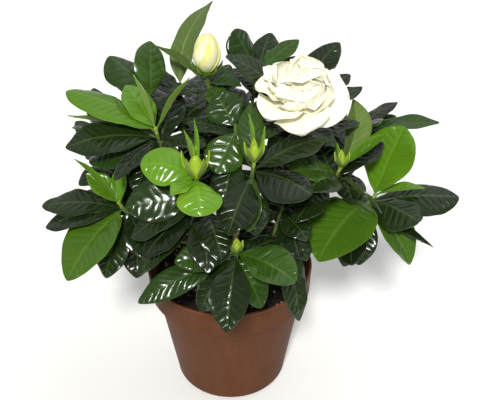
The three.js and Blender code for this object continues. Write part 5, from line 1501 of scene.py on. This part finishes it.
def grain_material():
    """White mineral grains in the soil: dusty white with small pits."""
    recipe = Recipe("white_grains", Specular_IOR_Level=0.3)
    pits = recipe.noise("grain_pit")
    return recipe.finish(recipe.mix(pits, "grain_pit", "grain"), pits.rise(0.2, 0.8, 0.7, 0.95),
                         pits, 0.0006, 1)


def floor_material():
    """Plain pale floor."""
    recipe = Recipe("pale_floor", Specular_IOR_Level=0.2)
    cloud = recipe.noise("floor_cloud")
    return recipe.finish(recipe.mix(cloud, "floor", "pale_floor"), cloud.rise(0, 1, 0.7, 0.8))


def dress_plant(shoots):
    """Woody stems, leafy shoots, young growth, buds and flower, each for its own node."""
    bark, greens = bark_material(), [leaf_material(), stem_material()]
    for index, (name, trunk) in enumerate(TRUNKS.items()):
        whole = line_points(lambda t: trunk_point(trunk, t), 0, 1, trunk["top"][2] - TRUNK_FOOT_LEVEL)
        parts = [woody_stem(whole, TRUNK_RADIUS, TRUNK_TOP_RADIUS, index)]
        for path in (shoot["path"] for shoot in shoots if shoot["trunk"] == name):
            reach = path[3]
            branch = line_points(lambda t: path_point(path, t), 0, WOOD_SHARE - GAP / 2 / reach, reach / 2)
            parts.append(woody_stem(branch, BRANCH_RADIUS, GREEN_RADIUS, index + BRANCH_SEED))
        piece(f"woody_stem_{name}", parts, [bark], replaces=[f"trunk_{name}"])
    for shoot in shoots:
        name, reach, split = shoot["name"], shoot["path"][3], shoot["split"]
        has_young = split < 1
        old = [leaf_shell(blade) for blade in shoot["blades"] if not is_young(blade)]
        young = [leaf_shell(blade) for blade in shoot["blades"] if is_young(blade)]
        end = split - GAP / reach if has_young else 1
        start = WOOD_SHARE + GAP / 2 / reach
        old.append(green_stem(shoot, start, end, GREEN_RADIUS, TIP_RADIUS, STEM_AGE))
        if has_young:
            young.append(green_stem(shoot, split, 1, TIP_RADIUS, TIP_RADIUS, YOUNG_STEM_AGE))
        if "bud" in shoot:
            (young if has_young else old).extend(small_bud(shoot))
        if name == "top":
            old += cream_calyx(shoot)
        piece(f"leafy_shoot_{name}", old, greens, replaces=[f"shoot_{name}"])
        if has_young:
            piece(f"young_growth_{name}", young, greens, replaces=[f"young_{name}"])
    piece("opening_bud", [cream_bud()], [bud_material()], replaces=["cream_bud"])
    piece("double_flower", flower_parts(), [petal_material()], sharp_angle=70,
          replaces=["flower"])


def dress_pot():
    """The pot with its drain holes, and the soil with its crumbs, grains and bits of bark."""
    pot = piece("nursery_pot", [pot_part()], [pot_material()], sharp_angle=40,
                replaces=["pot"])
    drill(pot)
    parts = [soil_body(), *lumps(**CRUMBS), *lumps(**GRAINS), *bark_bits()]
    materials = [soil_material(), grain_material()]
    piece("potting_soil", parts, materials, sharp_angle=180, replaces=["soil"])


# Far soft lights: (heading, pitch, strength, angular size, colour)
LIGHTS = dict(
    key=(-95, 45, 3.4, 9, (1.0, 0.99, 0.96)),
    fill=(20, 55, 0.5, 60, (1, 1, 1)),
    back=(100, 50, 0.5, 90, (1, 1, 1)),
)
SKY_STRENGTH = 0.3
FLOOR_REACH = 4.0
SENSOR_WIDTH = 36


def add_object(name, data):
    """A new object of the scene from its data."""
    made = bpy.data.objects.new(name, data)
    bpy.context.scene.collection.objects.link(made)
    return made


def aim_at(one, way):
    """Turns a lamp or a camera so that it looks a given way."""
    one.rotation_euler = Vector(way).to_track_quat("-Z", "Y").to_euler()


def set_stage():
    """Pale floor, soft studio light and the camera."""
    mesh = bpy.data.meshes.new("floor")
    corners = [(x * FLOOR_REACH, y * FLOOR_REACH, 0) for x, y in ((-1, -1), (1, -1), (1, 1), (-1, 1))]
    mesh.from_pydata(corners, [], [(0, 1, 2, 3)])
    mesh.materials.append(floor_material())
    floor = add_object("floor", mesh)
    for name, (heading, pitch, strength, size, colour) in LIGHTS.items():
        light = bpy.data.lights.new(name, "SUN")
        light.energy = strength
        light.angle = math.radians(size)
        light.color = colour
        aim_at(add_object(name, light), -direction(heading, pitch))
    world = bpy.data.worlds.new("studio")
    world.use_nodes = True
    sky = world.node_tree.nodes["Background"].inputs
    sky["Color"].default_value = (1, 1, 1, 1)
    sky["Strength"].default_value = SKY_STRENGTH
    scene = bpy.context.scene
    scene.world = world
    scene.view_settings.view_transform = "Standard"
    data = bpy.data.cameras.new("camera")
    data.lens = CAMERA_LENS
    data.sensor_width = SENSOR_WIDTH
    camera = add_object("camera", data)
    back = direction(-90, CAMERA_PITCH) * CAMERA_DISTANCE * MM
    camera.location = np.array(CAMERA_AIM) * MM + back
    aim_at(camera, -back)
    scene.camera = camera


dress_plant(grow())
dress_pot()
set_stage()
